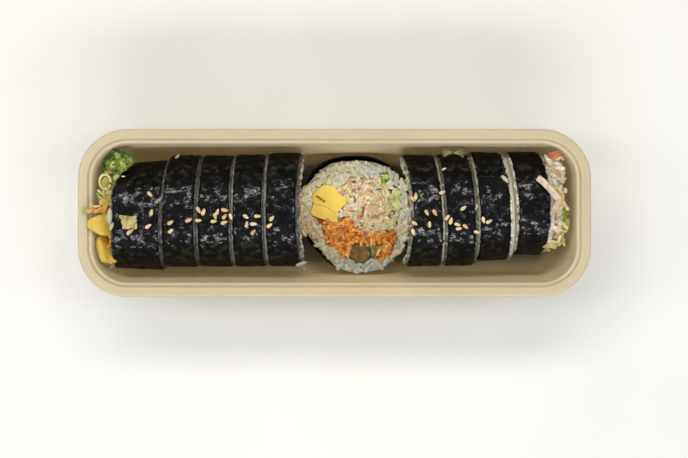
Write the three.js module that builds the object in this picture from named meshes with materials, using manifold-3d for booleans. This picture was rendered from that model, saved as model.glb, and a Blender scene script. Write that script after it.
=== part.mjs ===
// A takeaway tray of gimbap: a long moulded tray that holds one seaweed and rice roll, cut into ten slices.
// Nine slices stand on edge in two groups. The tenth lies face up between the groups and shows its fillings.
//
// Frame: millimetres, +Z up. The origin is the centre of the tray's base. +X runs along the tray to the right
// group of slices, and +Y to the far side.

import * as THREE from "three";
import { mergeVertices } from "three/addons/utils/BufferGeometryUtils.js";
import Module from "manifold-3d";

const wasm = await Module();
wasm.setup();

// ---- Driving dimensions ------------------------------------------------------------------------------------

const GAP = 0.3; // air between neighbouring pieces

const TRAY = {
  length: 220,
  width: 72,
  height: 43,
  cornerRadius: 21.4,
  wall: 1.0,
  floor: 1.2,
  draft: THREE.MathUtils.degToRad(5.5),
  mouthInset: 6.3, // from the rim's outer edge to the top of the inner wall
  rimWidth: 4.3, // the rim's crowned top
  rimEdge: 1.2, // thickness of the rim, and the radius that rounds it
  skirt: 3.6, // how far the rim turns down
  lidStep: 1.2, // depth of the step that a lid sits in
  floorFillet: 6,
  cornerSides: 5,
};

const NORI = 0.6; // the seaweed sheet where its laps lie on each other
const NORI_MARGIN = 1.0; // rice that shows past the seaweed at a cut
const ROLL_SIDES = 22;
const SAG_FROM = 0.8; // share of the radius below which a slice is flattened by its own weight
const SAG_KEEP = 0.55; // share of that height that is left

const GRAIN = { length: 5.4, width: 2.3 };
const SEED = { length: 3.3, width: 2.1, thickness: 1.1 };
const CARROT_SHRED = { length: 7, width: 1.5 };
const CRAB_FLAKE = { length: 3.6, width: 1.7 };
const EGG_PROUD = 0.35; // the firm egg stands out of a cut face

// The knife's cuts, from the left end of the roll to the right. x and y are where a cut meets the roll's axis,
// skew is its turn towards the far side, lean its tilt over the height, and bow how far its middle is pushed.
const CUTS = {
  leftEnd: { x: -97.2, y: -0.7, skew: 0, lean: 0, bow: 2.2 },
  left1: { x: -72.4, y: 0.2, skew: 0.049, lean: -0.033, bow: 0 },
  left2: { x: -58.4, y: 1.0, skew: 0.031, lean: -0.01, bow: 0 },
  left3: { x: -43.6, y: 1.2, skew: 0.012, lean: -0.01, bow: 0 },
  left4: { x: -28.9, y: 1.5, skew: 0, lean: -0.025, bow: 0 },
  leftFace: { x: -13.6, y: 1.7, skew: 0, lean: -0.01, bow: -1.5 },
  rightFace: { x: 29.6, y: 1.2, skew: -0.035, lean: 0, bow: 3.2 },
  right1: { x: 45.7, y: 1.5, skew: -0.068, lean: 0, bow: 1.1 },
  right2: { x: 59.7, y: 2.4, skew: -0.06, lean: 0.01, bow: 0.8 },
  right3: { x: 75.1, y: 4.0, skew: -0.072, lean: 0.02, bow: 0.6 },
  rightEnd: { x: 88.6, y: 4.5, skew: -0.038, lean: 0.09, bow: 1.2 },
};

// The standing slices: the cuts on their two sides, the roll's radius and the axis's place across the tray.
// Pinch is the share by which the tray's corner narrows a slice at its first cut, and slant how far the far
// side of that cut is set back.
const SLICES = {
  left_1: { cuts: ["leftEnd", "left1"], radius: 24.2, y: -0.7, pinch: 0.04, slant: 10 },
  left_2: { cuts: ["left1", "left2"], radius: 24.6, y: 1.0 },
  left_3: { cuts: ["left2", "left3"], radius: 24.4, y: 1.1 },
  left_4: { cuts: ["left3", "left4"], radius: 24.6, y: 1.3 },
  left_5: { cuts: ["left4", "leftFace"], radius: 25.0, y: 1.7 },
  right_1: { cuts: ["rightFace", "right1"], radius: 24.6, y: 1.3 },
  right_2: { cuts: ["right1", "right2"], radius: 24.6, y: 1.6 },
  right_3: { cuts: ["right2", "right3"], radius: 23.8, y: 3.2 },
  right_4: { cuts: ["right3", "rightEnd"], radius: 22.8, y: 4.5 },
};

// The slice that lies face up. Its neighbours squeeze it to an oval with full corners, dented on one side.
const FLAT_SLICE = {
  x: 8.75,
  y: -0.5,
  halfLength: 23.7,
  halfWidth: 26.2,
  fullness: 2.5, // 2 would be a plain oval
  dent: { towards: -131, spread: 26, depth: 3.5 }, // in degrees from +X, and its depth in mm
  thickness: 17.4,
  lip: 1.5, // from the seaweed's upper edge to the face
};

// Sesame seeds on each slice: [x, y, turn], from the slice's place on the tray's centre line, and degrees.
const SEEDS = {
  left_1: [[-78.5, 8, -45], [-77.6, 0.1, 75], [-79, -5.7, 35], [-84.4, -5.6, 80], [-87.4, -8.3, 60]],
  left_2: [[-69.5, -4.1, 30], [-69.5, -7.7, 40], [-61.8, -3.1, 25]],
  left_3: [[-56.3, 1.2, -60], [-54.2, 0.2, 70], [-56, -3.4, 0], [-49.6, 0.6, 70], [-51, -4, 5],
    [-46.6, 1.5, -10], [-46.7, -2.4, 50]],
  left_4: [[-41.8, -1.6, -70], [-37.5, -1.2, -35], [-37.6, -5.1, 80], [-33.8, -4.9, 0], [-32.8, -1.2, 0],
    [-34.8, -8.6, 50]],
  left_5: [[-26.3, -2.2, 50], [-27.3, -5.9, 35]],
  right_1: [[35.2, 7.1, 85], [39.2, 0.1, -60], [42.6, 0.1, -60], [35.4, -4.4, -30], [40.4, -4.9, 90]],
  right_2: [[48.7, -1.2, 50], [50.3, -4.6, 75], [54.7, 2, 35], [53.2, -7.6, 5], [56.6, -5.2, -40]],
  right_3: [[63.4, -2.4, -75], [66.8, -3.8, 30]],
  right_4: [],
};

// Outlines of the fillings on a cut face, across the roll. The order is the order in which they were laid, and
// a later filling gives way to an earlier one.
const FACE = {
  egg_1: [[-18.9, 7.4], [-18.7, 8.9], [-13.9, 13.5], [-11.2, 13.2], [-8.6, 12], [-6.4, 9.3], [-2.8, 7],
    [-3.2, 5.4], [-8.4, 0.3], [-9.8, 1.8], [-12.5, 3.6], [-18, 4.8]],
  egg_2: [[-18.1, 5.4], [-12.5, 4.2], [-9.6, 2.4], [-8.3, 0.8], [-6.8, -3.9], [-12.7, -2.6], [-18.3, -0.6],
    [-19.7, 1]],
  pickle_1: oval(2.5, -17.2, 4.5, 4.5, 12),
  pickle_2: [[5.2, -13.6], [9.4, -13], [13.6, -13.1], [12.8, -15.2], [9.8, -18.2], [6.9, -20]],
  lettuce_1: [[16.3, 11.7], [18.8, 12.9], [21.4, 7.7], [20.4, 3], [19, 0.6], [17.2, 1.4], [17.9, 5]],
  lettuce_2: oval(13.3, 16.8, 2.3, 2, 8),
  crab: [[-5.8, 0.6], [-3.4, 5.2], [-3.2, 7.4], [-6, 10.1], [-3.2, 15.2], [1.6, 16.6], [10.2, 16],
    [16.9, 10.5], [18.2, 5], [17, 1], [19.2, -2.2], [18, -5.6], [13.1, -9.6], [9.9, -7.2], [6.3, -8.5],
    [2.8, -6.9], [-2.8, -0.4]],
  carrot_1: [[-17.3, -0.4], [-12.7, -2.1], [-7.2, -3.3], [-5, -1.4], [-2.2, 0], [3.2, -6.3], [5.1, -10.2],
    [5.3, -12.9], [-0.8, -14], [-3, -19], [-5.4, -19.4], [-8, -14.3], [-11.8, -13.2], [-13.9, -6.9]],
  carrot_2: [[5.4, -12.8], [6.9, -8], [9.7, -6.8], [13.1, -9], [16.8, -6.2], [18.6, -9], [17.2, -16.4],
    [14.2, -18.6], [9.9, -19.9], [9.2, -18.2], [12.2, -15], [12.6, -13.6]],
};

const COLOURS = {
  tray: 0xcdc19c,
  nori: 0x16181a,
  rice: 0xd9d4bf,
  egg: 0xecc850,
  pickle: 0x6e5a2a,
  lettuce: 0x8aa63c,
  crab: 0xe3c4ae,
  carrot: 0xdd7a2a,
  cabbage: 0xd6d29a,
};

// ---- Solids ------------------------------------------------------------------------------------------------

// A closed geometry as a solid that can be joined and cut. A geometry that is inside out is turned.
function solidOf(geometry) {
  const bare = new THREE.BufferGeometry();
  bare.setAttribute("position", geometry.getAttribute("position"));
  bare.setIndex(geometry.index);
  const merged = mergeVertices(bare, 1e-4);
  const corners = new Uint32Array(merged.index.array);
  const make = () =>
    new wasm.Manifold(
      new wasm.Mesh({ numProp: 3, vertProperties: merged.attributes.position.array, triVerts: corners }),
    );
  const solid = make();
  if (solid.volume() >= 0) return solid;
  for (let i = 0; i < corners.length; i += 3) {
    [corners[i + 1], corners[i + 2]] = [corners[i + 2], corners[i + 1]];
  }
  return make();
}

// The largest body of a solid, as a geometry. Scraps that a cut left behind are dropped.
function geometryOf(solid) {
  const largest = solid.decompose().reduce((a, b) => (a.volume() >= b.volume() ? a : b));
  const { numProp, numVert, vertProperties, triVerts } = largest.getMesh();
  const positions = new Float32Array(numVert * 3);
  for (let i = 0; i < numVert; i++) {
    positions.set(vertProperties.subarray(i * numProp, i * numProp + 3), i * 3);
  }
  return new THREE.BufferGeometry()
    .setAttribute("position", new THREE.BufferAttribute(positions, 3))
    .setIndex(new THREE.BufferAttribute(triVerts, 1));
}

const joinAll = (solids) => solids.reduce((whole, solid) => whole.add(solid));
const cutAll = (solid, cutters) => cutters.reduce((left, cutter) => left.subtract(cutter), solid);

// Moves every vertex of a geometry by a rule on its place.
function warped(geometry, rule) {
  const positions = geometry.getAttribute("position");
  const point = new THREE.Vector3();
  for (let i = 0; i < positions.count; i++) {
    point.fromBufferAttribute(positions, i);
    rule(point);
    positions.setXYZ(i, point.x, point.y, point.z);
  }
  return geometry;
}

// A closed solid through a run of loops that all have the same number of points, with both ends capped.
function loft(loops) {
  const sides = loops[0].length;
  const points = loops.flat();
  const faces = [];
  loops.slice(1).forEach((_, k) => {
    for (let i = 0; i < sides; i++) {
      const j = (i + 1) % sides;
      const [a, b, c, d] = [k * sides + i, k * sides + j, (k + 1) * sides + j, (k + 1) * sides + i];
      faces.push(a, b, c, a, c, d);
    }
  });
  const last = (loops.length - 1) * sides;
  for (let i = 1; i < sides - 1; i++) {
    faces.push(0, i + 1, i);
    faces.push(last, last + i, last + i + 1);
  }
  return new THREE.BufferGeometry().setFromPoints(points).setIndex(faces);
}

// Random numbers from 0 to 1 that are the same on every run.
function seededRandom(seed) {
  let state = seed;
  return () => {
    state = (state * 1664525 + 1013904223) % 4294967296;
    return state / 4294967296;
  };
}

// ---- Outlines ----------------------------------------------------------------------------------------------

function oval(x, y, halfWidth, halfHeight, sides) {
  return Array.from({ length: sides }, (_, i) => {
    const angle = (i / sides) * 2 * Math.PI;
    return [x + halfWidth * Math.cos(angle), y + halfHeight * Math.sin(angle)];
  });
}

// An outline moved outwards by a distance, corner by corner.
function grown(outline, distance) {
  const points = outline.map(([x, y]) => new THREE.Vector2(x, y));
  const turn = THREE.ShapeUtils.area(points) > 0 ? 1 : -1;
  const normal = (a, b) => new THREE.Vector2(b.y - a.y, a.x - b.x).normalize().multiplyScalar(turn);
  return points.map((point, i) => {
    const before = normal(points.at(i - 1), point);
    const after = normal(point, points[(i + 1) % points.length]);
    const middle = before.add(after).normalize();
    const reach = distance / Math.max(0.5, middle.dot(after));
    return [point.x + middle.x * reach, point.y + middle.y * reach];
  });
}

function turned(outline, degrees) {
  const centre = new THREE.Vector2();
  return outline.map(([x, y]) => {
    const point = new THREE.Vector2(x, y).rotateAround(centre, THREE.MathUtils.degToRad(degrees));
    return [point.x, point.y];
  });
}

function inside(outline, x, y) {
  let within = false;
  outline.forEach(([ax, ay], i) => {
    const [bx, by] = outline.at(i - 1);
    if (ay > y !== by > y && x < ((bx - ax) * (y - ay)) / (by - ay) + ax) within = !within;
  });
  return within;
}

// A strip of filling with this outline, along the roll from one end to the other.
function strip(outline, from, to) {
  const shape = new THREE.Shape(outline.map(([x, y]) => new THREE.Vector2(x, y)));
  const geometry = new THREE.ExtrudeGeometry(shape, { depth: to - from, bevelEnabled: false, steps: 1 });
  return solidOf(geometry.translate(0, 0, from));
}

// Places spread evenly over a disc, each moved a little by a seeded draw, that pass a test.
function spread(count, radius, seed, fits) {
  const random = seededRandom(seed);
  const golden = Math.PI * (3 - Math.sqrt(5));
  return Array.from({ length: count }, (_, i) => {
    const reach = radius * Math.sqrt((i + 0.5) / count);
    const x = reach * Math.cos(i * golden) + random() - 0.5;
    const y = reach * Math.sin(i * golden) + random() - 0.5;
    return { x, y, turn: random() * Math.PI, lift: random() };
  }).filter(({ x, y }) => fits(x, y));
}

// ---- Small pieces that are fused to a face -----------------------------------------------------------------

// An oval piece that lies across the roll's axis at one place of a cut face.
function pip({ x, y, turn }, level, { length, width }) {
  return solidOf(
    new THREE.SphereGeometry(1, 5, 3)
      .scale(width / 2, length / 2, width / 2)
      .rotateZ(turn)
      .translate(x, y, level),
  );
}

function shred({ x, y, turn, lift }, level, { length, width }) {
  return solidOf(
    new THREE.BoxGeometry(width, length * (0.6 + 0.4 * lift), width)
      .rotateX((lift - 0.5) * 0.25)
      .rotateZ(turn)
      .translate(x, y, level),
  );
}

// ---- Tray --------------------------------------------------------------------------------------------------

// How far the inner wall stands inside the rim's outer edge, at a height.
const innerInset = (z) => TRAY.mouthInset + (TRAY.height - z) * Math.tan(TRAY.draft);
const outerInset = (z) => innerInset(z) - TRAY.wall;

// The rounded rectangle at one inset from the rim's outer edge, and one height.
function trayLoop([inset, z]) {
  const radius = TRAY.cornerRadius - inset;
  const x = TRAY.length / 2 - inset - radius;
  const y = TRAY.width / 2 - inset - radius;
  const centres = [[x, y], [-x, y], [-x, -y], [x, -y]];
  return centres.flatMap(([cx, cy], quarter) =>
    Array.from({ length: TRAY.cornerSides + 1 }, (_, i) => {
      const angle = (quarter + i / TRAY.cornerSides) * (Math.PI / 2);
      return new THREE.Vector3(cx + radius * Math.cos(angle), cy + radius * Math.sin(angle), z);
    }),
  );
}

// A quarter-round between the floor and a wall, as [inset, z] pairs from the floor up.
function fillet(insetAt, floor, radius) {
  const steps = [0, 0.4, 0.75, 1];
  const centre = insetAt(floor + radius) + radius;
  return steps.map((step) => {
    const angle = (step * Math.PI) / 2;
    return [centre - radius * Math.sin(angle), floor + radius * (1 - Math.cos(angle))];
  });
}

function trayGeometry() {
  const { height, rimEdge, rimWidth, mouthInset, skirt, lidStep, floor, floorFillet, wall } = TRAY;
  const under = height - rimEdge;
  const underStep = under - lidStep;
  const round = rimEdge * 0.3;
  const profile = [
    ...fillet(outerInset, 0, floorFillet + wall),
    [outerInset(underStep), underStep],
    [rimWidth - rimEdge, underStep],
    [rimWidth - rimEdge, under],
    [rimEdge, under],
    [rimEdge, height - skirt],
    [0, height - skirt],
    [0, under],
    [round, height - round],
    [rimEdge, height],
    [rimWidth, height],
    [rimWidth + round, height - lidStep],
    [mouthInset - round, height - lidStep],
    [mouthInset, height - lidStep - round],
    ...fillet(innerInset, floor, floorFillet).reverse(),
  ];
  return geometryOf(solidOf(loft(profile.map(trayLoop))));
}

// ---- Slices ------------------------------------------------------------------------------------------------
// A slice is made with its axis along Z, its face in the XY plane and its middle at the origin. On a standing
// slice that X becomes the tray's Y, that Y becomes Z, and that Z becomes X, between the slice's two cuts.

const cutAt = (cut, y, z, radius) =>
  cut.x + cut.skew * (y - cut.y) + cut.lean * z + cut.bow * Math.max(0, 1 - ((y - cut.y) / radius) ** 2);

const sagged = (height, radius) =>
  height > -SAG_FROM * radius ? height : -SAG_FROM * radius + (height + SAG_FROM * radius) * SAG_KEEP;

const axisHeight = (radius) => TRAY.floor + GAP - sagged(-radius, radius);

function thicknessOf({ cuts: [from, to] }) {
  const middle = (cut) => CUTS[cut].x + CUTS[cut].bow / 2;
  return middle(to) - middle(from) - GAP;
}

// Moves a geometry from a slice's own frame to the tray's.
function inTray(geometry, slice) {
  const [from, to] = slice.cuts.map((cut) => CUTS[cut]);
  const { radius, pinch = 0 } = slice;
  const thickness = thicknessOf(slice);
  return warped(geometry, (point) => {
    const along = point.z / thickness + 0.5;
    const narrow = 1 - pinch * THREE.MathUtils.clamp(1 - along, 0, 1);
    const y = slice.y + point.x * narrow;
    const z = axisHeight(radius) + sagged(point.y, radius);
    const near = cutAt(from, y, z, radius) + GAP / 2;
    const far = cutAt(to, y, z, radius) - GAP / 2;
    point.set(THREE.MathUtils.lerp(near, far, along), y, z);
  });
}

// A mesh of its kind's colour. Its geometry is in the tray's frame, and its place is the geometry's middle.
function named(name, geometry) {
  const kind = Object.keys(COLOURS).find((key) => name.startsWith(key));
  const material = new THREE.MeshStandardMaterial({
    color: COLOURS[kind],
    roughness: kind === "nori" ? 0.35 : 0.6,
    metalness: 0,
  });
  const mesh = new THREE.Mesh(geometry, material);
  geometry.computeBoundingBox();
  geometry.boundingBox.getCenter(mesh.position).round();
  geometry.translate(-mesh.position.x, -mesh.position.y, -mesh.position.z);
  mesh.name = name;
  return mesh;
}

// A closed turning about Z, through [radius, z] pairs.
function lathe(profile) {
  const points = profile.map(([radius, z]) => new THREE.Vector2(radius, z));
  return new THREE.LatheGeometry(points, ROLL_SIDES).rotateX(Math.PI / 2);
}

// How far a point of a slice's first face is set back, on the far side.
const setBack = ({ x, y }, slant) => slant * Math.max(0, x / Math.hypot(x, y)) ** 3.5;

// The seaweed sleeve of a standing slice, with its seeds fused on. It ends short of both cut faces.
function sleeve(slice, seeds) {
  const { radius, slant = 0 } = slice;
  const half = thicknessOf(slice) / 2 - NORI_MARGIN;
  const tube = lathe([[radius - NORI, -half], [radius, -half], [radius, half], [radius - NORI, half],
    [radius - NORI, -half]]);
  warped(tube, (point) => {
    if (point.z < 0) point.z += setBack(point, slant);
  });
  const [from, to] = slice.cuts.map((cut) => CUTS[cut]);
  const middle = (from.x + from.bow + to.x + to.bow) / 2;
  const room = half - SEED.length / 2;
  const fused = seeds.map(([x, y, turn]) =>
    solidOf(
      new THREE.SphereGeometry(1, 5, 3)
        .scale(SEED.width / 2, SEED.length / 2, SEED.thickness / 2)
        .rotateZ(THREE.MathUtils.degToRad(turn))
        .rotateX(-Math.PI / 2)
        .translate(0, radius, THREE.MathUtils.clamp(x - middle, -room, room))
        .rotateZ(-Math.asin((y - slice.y) / radius)),
    ),
  );
  return geometryOf(joinAll([solidOf(tube), ...fused]));
}

// The rice of a standing slice: a disc whose collars show past the seaweed, bumpy with the grains' size. The
// domes are how far its two faces swell in the middle.
function riceDisc(slice, seed, domes = [0, 0]) {
  const { radius, slant = 0 } = slice;
  const face = thicknessOf(slice) / 2;
  const collar = face - NORI_MARGIN + GAP;
  const under = radius - NORI - GAP;
  const proud = radius - GAP;
  const cap = ([share, swell], side) => [proud * share, side * (face + swell * domes[side < 0 ? 0 : 1])];
  const swollen = [[0, 1], [0.6, 0.75]]; // share of the radius, and of the swell
  const caps = (side) => swollen.slice(0, domes[side < 0 ? 0 : 1] ? 2 : 1).map((ring) => cap(ring, side));
  const random = seededRandom(seed);
  const bumps = Array.from({ length: ROLL_SIDES }, () => random());
  const disc = lathe([...caps(-1), [proud, -face], [proud, -collar], [under, -collar],
    [under, collar], [proud, collar], [proud, face], ...caps(1).reverse()]);
  return solidOf(
    warped(disc, (point) => {
      const reach = Math.hypot(point.x, point.y);
      const turn = Math.round((Math.atan2(point.x, point.y) / (2 * Math.PI)) * ROLL_SIDES);
      const bump = bumps.at(turn % ROLL_SIDES);
      if (reach > under + GAP) {
        point.x *= 1 - 0.02 * bump;
        point.y *= 1 - 0.02 * bump;
      } else if (Math.abs(point.z) > face + GAP) {
        point.z -= Math.sign(point.z) * Math.min(1, reach) * 0.9 * bump;
      }
      if (point.z < -collar + GAP && reach > under - GAP) point.z += setBack(point, slant);
    }),
  );
}

// ---- Fillings of a cut face --------------------------------------------------------------------------------

// The strips of filling with these outlines. Each runs from one face to the other. On the shown side (1 or -1)
// the carrot and the crab have pieces of their shreds and flakes fused on, where the place is clear.
function fillings(outlines, face, side, counts, clear = () => true) {
  const ends = (proud) => [-face - (side < 0 ? proud : 0), face + (side > 0 ? proud : 0)];
  const reach = face + 4;
  const taken = [];
  const made = {};
  Object.entries(outlines).forEach(([name, outline], order) => {
    const fits = (x, y) => inside(outline, x, y) && clear(x, y);
    const level = side * (face + 0.1);
    const isCarrot = name.startsWith("carrot");
    const pieces = isCarrot
      ? spread(counts.carrot, 22, 11 + order, fits).map((spot) => shred(spot, level, CARROT_SHRED))
      : name.startsWith("crab")
        ? spread(counts.crab, 22, 11 + order, fits).map((spot) => pip(spot, level, CRAB_FLAKE))
        : [];
    const core = strip(outline, ...ends(name.startsWith("egg") ? EGG_PROUD : 0));
    const within = strip(outline, ...ends(3));
    made[name] = cutAll(joinAll([core, ...pieces]).intersect(within), taken);
    taken.push(strip(grown(outline, GAP), -reach, reach));
  });
  return { made, taken };
}

// Grains of rice that lie flat on a face, clear of the fillings.
function faceGrains(outlines, radius, level, count, seed, clear = () => true) {
  const walls = Object.values(outlines).map((outline) => grown(outline, 0.9));
  const free = (x, y) => !walls.some((wall) => inside(wall, x, y));
  const fits = (x, y) => Math.hypot(x, y) < radius && clear(x, y) && free(x, y);
  return spread(count, radius + 0.5, seed, fits).map((spot) => pip(spot, level, GRAIN));
}

// A standing slice of plain rice, whose faces its neighbours cover.
function plainSlice(name, seed) {
  const slice = SLICES[name];
  return [
    named(`nori_${name}`, inTray(sleeve(slice, SEEDS[name]), slice)),
    named(`rice_${name}`, inTray(geometryOf(riceDisc(slice, seed)), slice)),
  ];
}

// A standing slice beside the flat one. Its face on one side shows above the flat slice, with its fillings.
function facingSlice(name, side, turn, seed) {
  const slice = SLICES[name];
  const face = thicknessOf(slice) / 2;
  const shown = { egg: FACE.egg_1, pickle: FACE.pickle_1, crab: FACE.crab, carrot: FACE.carrot_1 };
  const outlines = Object.fromEntries(Object.entries(shown).map(([key, line]) => [key, turned(line, turn)]));
  const aboveFlat = (_, height) => height > FLAT_SLICE.thickness + 5 - axisHeight(slice.radius);
  const { made, taken } = fillings(outlines, face, side, { carrot: 24, crab: 22 }, aboveFlat);
  const grains = faceGrains(outlines, slice.radius - 3, side * face, 60, seed, aboveFlat);
  const rice = cutAll(joinAll([riceDisc(slice, seed), ...grains]), taken);
  return [
    named(`nori_${name}`, inTray(sleeve(slice, SEEDS[name]), slice)),
    named(`rice_${name}`, inTray(geometryOf(rice), slice)),
    ...Object.entries(made).map(([key, solid]) => named(`${key}_${name}`, inTray(geometryOf(solid), slice))),
  ];
}

// How far the flat slice's outline stands from its middle, in a direction.
function flatReach(angle) {
  const { halfLength, halfWidth, fullness, dent } = FLAT_SLICE;
  const across = Math.abs(Math.cos(angle) / halfLength) ** fullness;
  const along = Math.abs(Math.sin(angle) / halfWidth) ** fullness;
  const away = (THREE.MathUtils.radToDeg(angle) - dent.towards) / dent.spread;
  return (across + along) ** (-1 / fullness) - dent.depth * Math.exp(-(away ** 2));
}

// The slice that lies face up. The tray's fillet rounds its foot, and its rice reaches out over the seaweed.
function flatSlice() {
  const { x, y, halfLength, thickness, lip } = FLAT_SLICE;
  const face = thickness / 2;
  const rim = 0.985; // share of the outline that the rice reaches at the face
  const side = (top) => [[0.8, -face], [0.95, -face + 3], [1, face - 6], [0.99, top]];
  const shrunk = (by, top) => side(top).map(([share, z]) => [share - by / halfLength, z]);
  const outlined = (profile) =>
    solidOf(warped(lathe(profile), (point) => {
      const reach = flatReach(Math.atan2(point.y, point.x));
      point.x *= reach;
      point.y *= reach;
    }));
  const nori = outlined([...side(face - lip), ...shrunk(NORI, face - lip).reverse(), [0.8, -face]]);
  const collar = face - lip + GAP;
  const core = outlined([[0, -face], ...shrunk(NORI + GAP, collar), [rim, collar], [rim, face], [0, face]]);
  const grainRoom = outlined([[0, collar], [rim, collar], [rim, face + 3], [0, face + 3]]);
  const [foot, ...above] = shrunk(NORI + 3 * GAP, face).slice(0, 3);
  const fillingRoom = outlined([[0, -face], foot, ...above, [above[1][0], face + 3], [0, face + 3]]);
  const { made, taken } = fillings(FACE, face, 1, { carrot: 86, crab: 74 });
  const grains = faceGrains(FACE, halfLength - 1.4, face, 130, 5).map((grain) => grain.intersect(grainRoom));
  const rice = cutAll(joinAll([core, ...grains]), taken);
  const level = TRAY.floor + GAP + face;
  const laid = (name, solid) => named(`${name}_centre`, geometryOf(solid).translate(x, y, level));
  const strips = Object.entries(made).map(([key, solid]) => laid(key, solid.intersect(fillingRoom)));
  return [laid("nori", nori), laid("rice", rice), ...strips];
}

// ---- The roll's two ends -----------------------------------------------------------------------------------
// Each filling is a function of how much it is grown, which gives its solid at 0 and its room in the rice at
// GAP. These are in the tray's frame.

// A bar along a run of [x, y, z, scale] points, with an oblong section that may be tilted about X.
const bar = (points, width, thickness, tilt = 0) => (grow) => {
  const centre = new THREE.Vector2();
  const corners = [[-1, -1], [1, -1], [1, 1], [-1, 1]].map(([a, b]) =>
    new THREE.Vector2(a * (width / 2 + grow), b * (thickness / 2 + grow)).rotateAround(centre, tilt));
  const direction = Math.sign(points.at(-1)[0] - points[0][0]);
  return solidOf(
    loft(
      points.map(([x, y, z, scale = 1], i) => {
        const past = i === 0 ? -grow : i === points.length - 1 ? grow : 0;
        return corners.map((corner) =>
          new THREE.Vector3(x + past * direction, y + corner.x * scale, z + corner.y * scale));
      }),
    ),
  );
};

// A thin leaf that fans out from a root, with a frilled edge. Both of its faces have the same triangles.
const frill = ({ root: [x, y, z], from, to, reach, rise, waves, height, across = 12 }) => (grow) => {
  const thickness = 1;
  const out = 2;
  const at = (i, j, side) => {
    const angle = THREE.MathUtils.degToRad(THREE.MathUtils.lerp(from - grow * 8, to + grow * 8, i / across));
    const share = j / out;
    const far = THREE.MathUtils.lerp(0.4, reach + grow, share) * (1 + 0.06 * Math.sin(i * 2.4));
    const wave = height * share ** 1.5 * Math.sin((i / across) * waves * 2 * Math.PI);
    const lift = rise * far + wave + side * (thickness / 2 + grow);
    return new THREE.Vector3(x + far * Math.cos(angle), y + far * Math.sin(angle), z + lift);
  };
  const loops = Array.from({ length: across + 1 }, (_, i) => [
    ...Array.from({ length: out + 1 }, (_, j) => at(i, j, -1)),
    ...Array.from({ length: out + 1 }, (_, j) => at(i, out - j, 1)),
  ]);
  return solidOf(loft(loops));
};

// A curled shred, as a ring that leans.
const curl = ([x, y, z], radius, thickness) => (grow) =>
  solidOf(new THREE.TorusGeometry(radius, thickness / 2 + grow, 4, 9).rotateX(-0.5).translate(x, y, z));

const lump = ([x, y, z], [halfLength, halfWidth, halfHeight], turn = 0) => (grow) =>
  solidOf(
    new THREE.SphereGeometry(1, 6, 4)
      .scale(halfLength + grow, halfWidth + grow, halfHeight + grow)
      .rotateZ(THREE.MathUtils.degToRad(turn))
      .translate(x, y, z),
  );

const together = (...pieces) => (grow) => joinAll(pieces.map((piece) => piece(grow)));

// Loose grains in a patch: they lie against each other on a bulge that leans away from the slice's face.
function grainPatch(count, seed, place) {
  const random = seededRandom(seed);
  return Array.from({ length: count }, () => {
    const [a, b] = [random(), random()];
    const [x, y, z] = place(a, b);
    return solidOf(
      new THREE.SphereGeometry(1, 5, 3)
        .scale(GRAIN.width / 2, GRAIN.length / 2, GRAIN.width / 2)
        .rotateX((random() - 0.5) * 1.6)
        .rotateZ(random() * Math.PI)
        .translate(x, y, z),
    );
  });
}

// A slice at an end of the roll, where the fillings reach out of the rice towards the tray's end wall.
function endSlice(name, seed, domes, parts, grains) {
  const slice = SLICES[name];
  const disc = solidOf(inTray(geometryOf(riceDisc(slice, seed, domes)), slice));
  const nori = solidOf(inTray(sleeve(slice, SEEDS[name]), slice));
  const taken = [];
  const made = Object.entries(parts).map(([key, part]) => {
    const solid = cutAll(part(0), taken);
    taken.push(part(GAP));
    return named(`${key}_${name}`, geometryOf(solid));
  });
  const rice = cutAll(joinAll([disc, ...grains]), taken);
  return [named(`nori_${name}`, geometryOf(nori)), named(`rice_${name}`, geometryOf(rice)), ...made];
}

function leftEnd() {
  const start = CUTS.left1.x - 2.4;
  const parts = {
    egg_1: bar([[start, -4.6, 36], [-94.4, -4.8, 37.2], [-98, -4.9, 39.6], [-101, -4.8, 42.4, 0.9],
      [-104.4, -4.7, 44.4, 0.45]], 9.6, 4.2),
    egg_2: bar([[start, -12.6, 25.6], [-94.6, -14, 29.5], [-98, -15.2, 34], [-101, -15.2, 38.6, 0.8]],
      14, 4.4, 0.35),
    carrot: bar([[start, 1.6, 41], [-95.4, 1.6, 42.4], [-99, 1.4, 43.8], [-101.6, 1.1, 45, 1.35],
      [-104.2, 0.8, 45.6, 0.7], [-107.4, 0.7, 45.8, 0.6]], 2.5, 1.8),
    cabbage: together(
      bar([[start, 5.8, 32], [-94, 6.4, 33.4], [-98.6, 7, 36.6]], 7.4, 4.2, -0.3),
      bar([[-96, 7, 35], [-98.4, 9.6, 37.2], [-99, 12, 37.6], [-97.6, 15, 37.8]], 1.9, 1.6),
      bar([[-94.6, 4.4, 34], [-98.2, 5, 38.2], [-101.2, 6.8, 39.8]], 1.8, 1.7),
      curl([-98.8, 13.2, 38.6], 2.7, 1.3),
    ),
    lettuce: together(
      bar([[start, 12.4, 22.6], [-89, 12.8, 26.4], [-92.6, 14.4, 32.6], [-94, 15.6, 37]], 4.6, 3.2, -0.5),
      frill({ root: [-93.8, 15.4, 35.2], from: 58, to: 98, reach: 11, rise: 0.16, waves: 2, height: 1,
        across: 6 }),
      frill({ root: [-93.8, 15.4, 36.6], from: 80, to: 174, reach: 8, rise: 0.24, waves: 3, height: 1 }),
    ),
  };
  const grains = [
    ...grainPatch(5, 71, (a, b) => [-97.6 - 1.1 * b, -1 + 6 * (a - 0.5), 40.6 + 2.4 * b]),
    ...grainPatch(4, 72, (a, b) => [-97.2 - 0.8 * b, -20.6 + 4 * (a - 0.5), 31 + 4 * b]),
    ...grainPatch(4, 73, (a, b) => [-97 - 1.2 * b, 8 * (a - 0.5), 21 + 8 * b]),
  ];
  return endSlice("left_1", 41, [0, 0], parts, grains);
}

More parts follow.
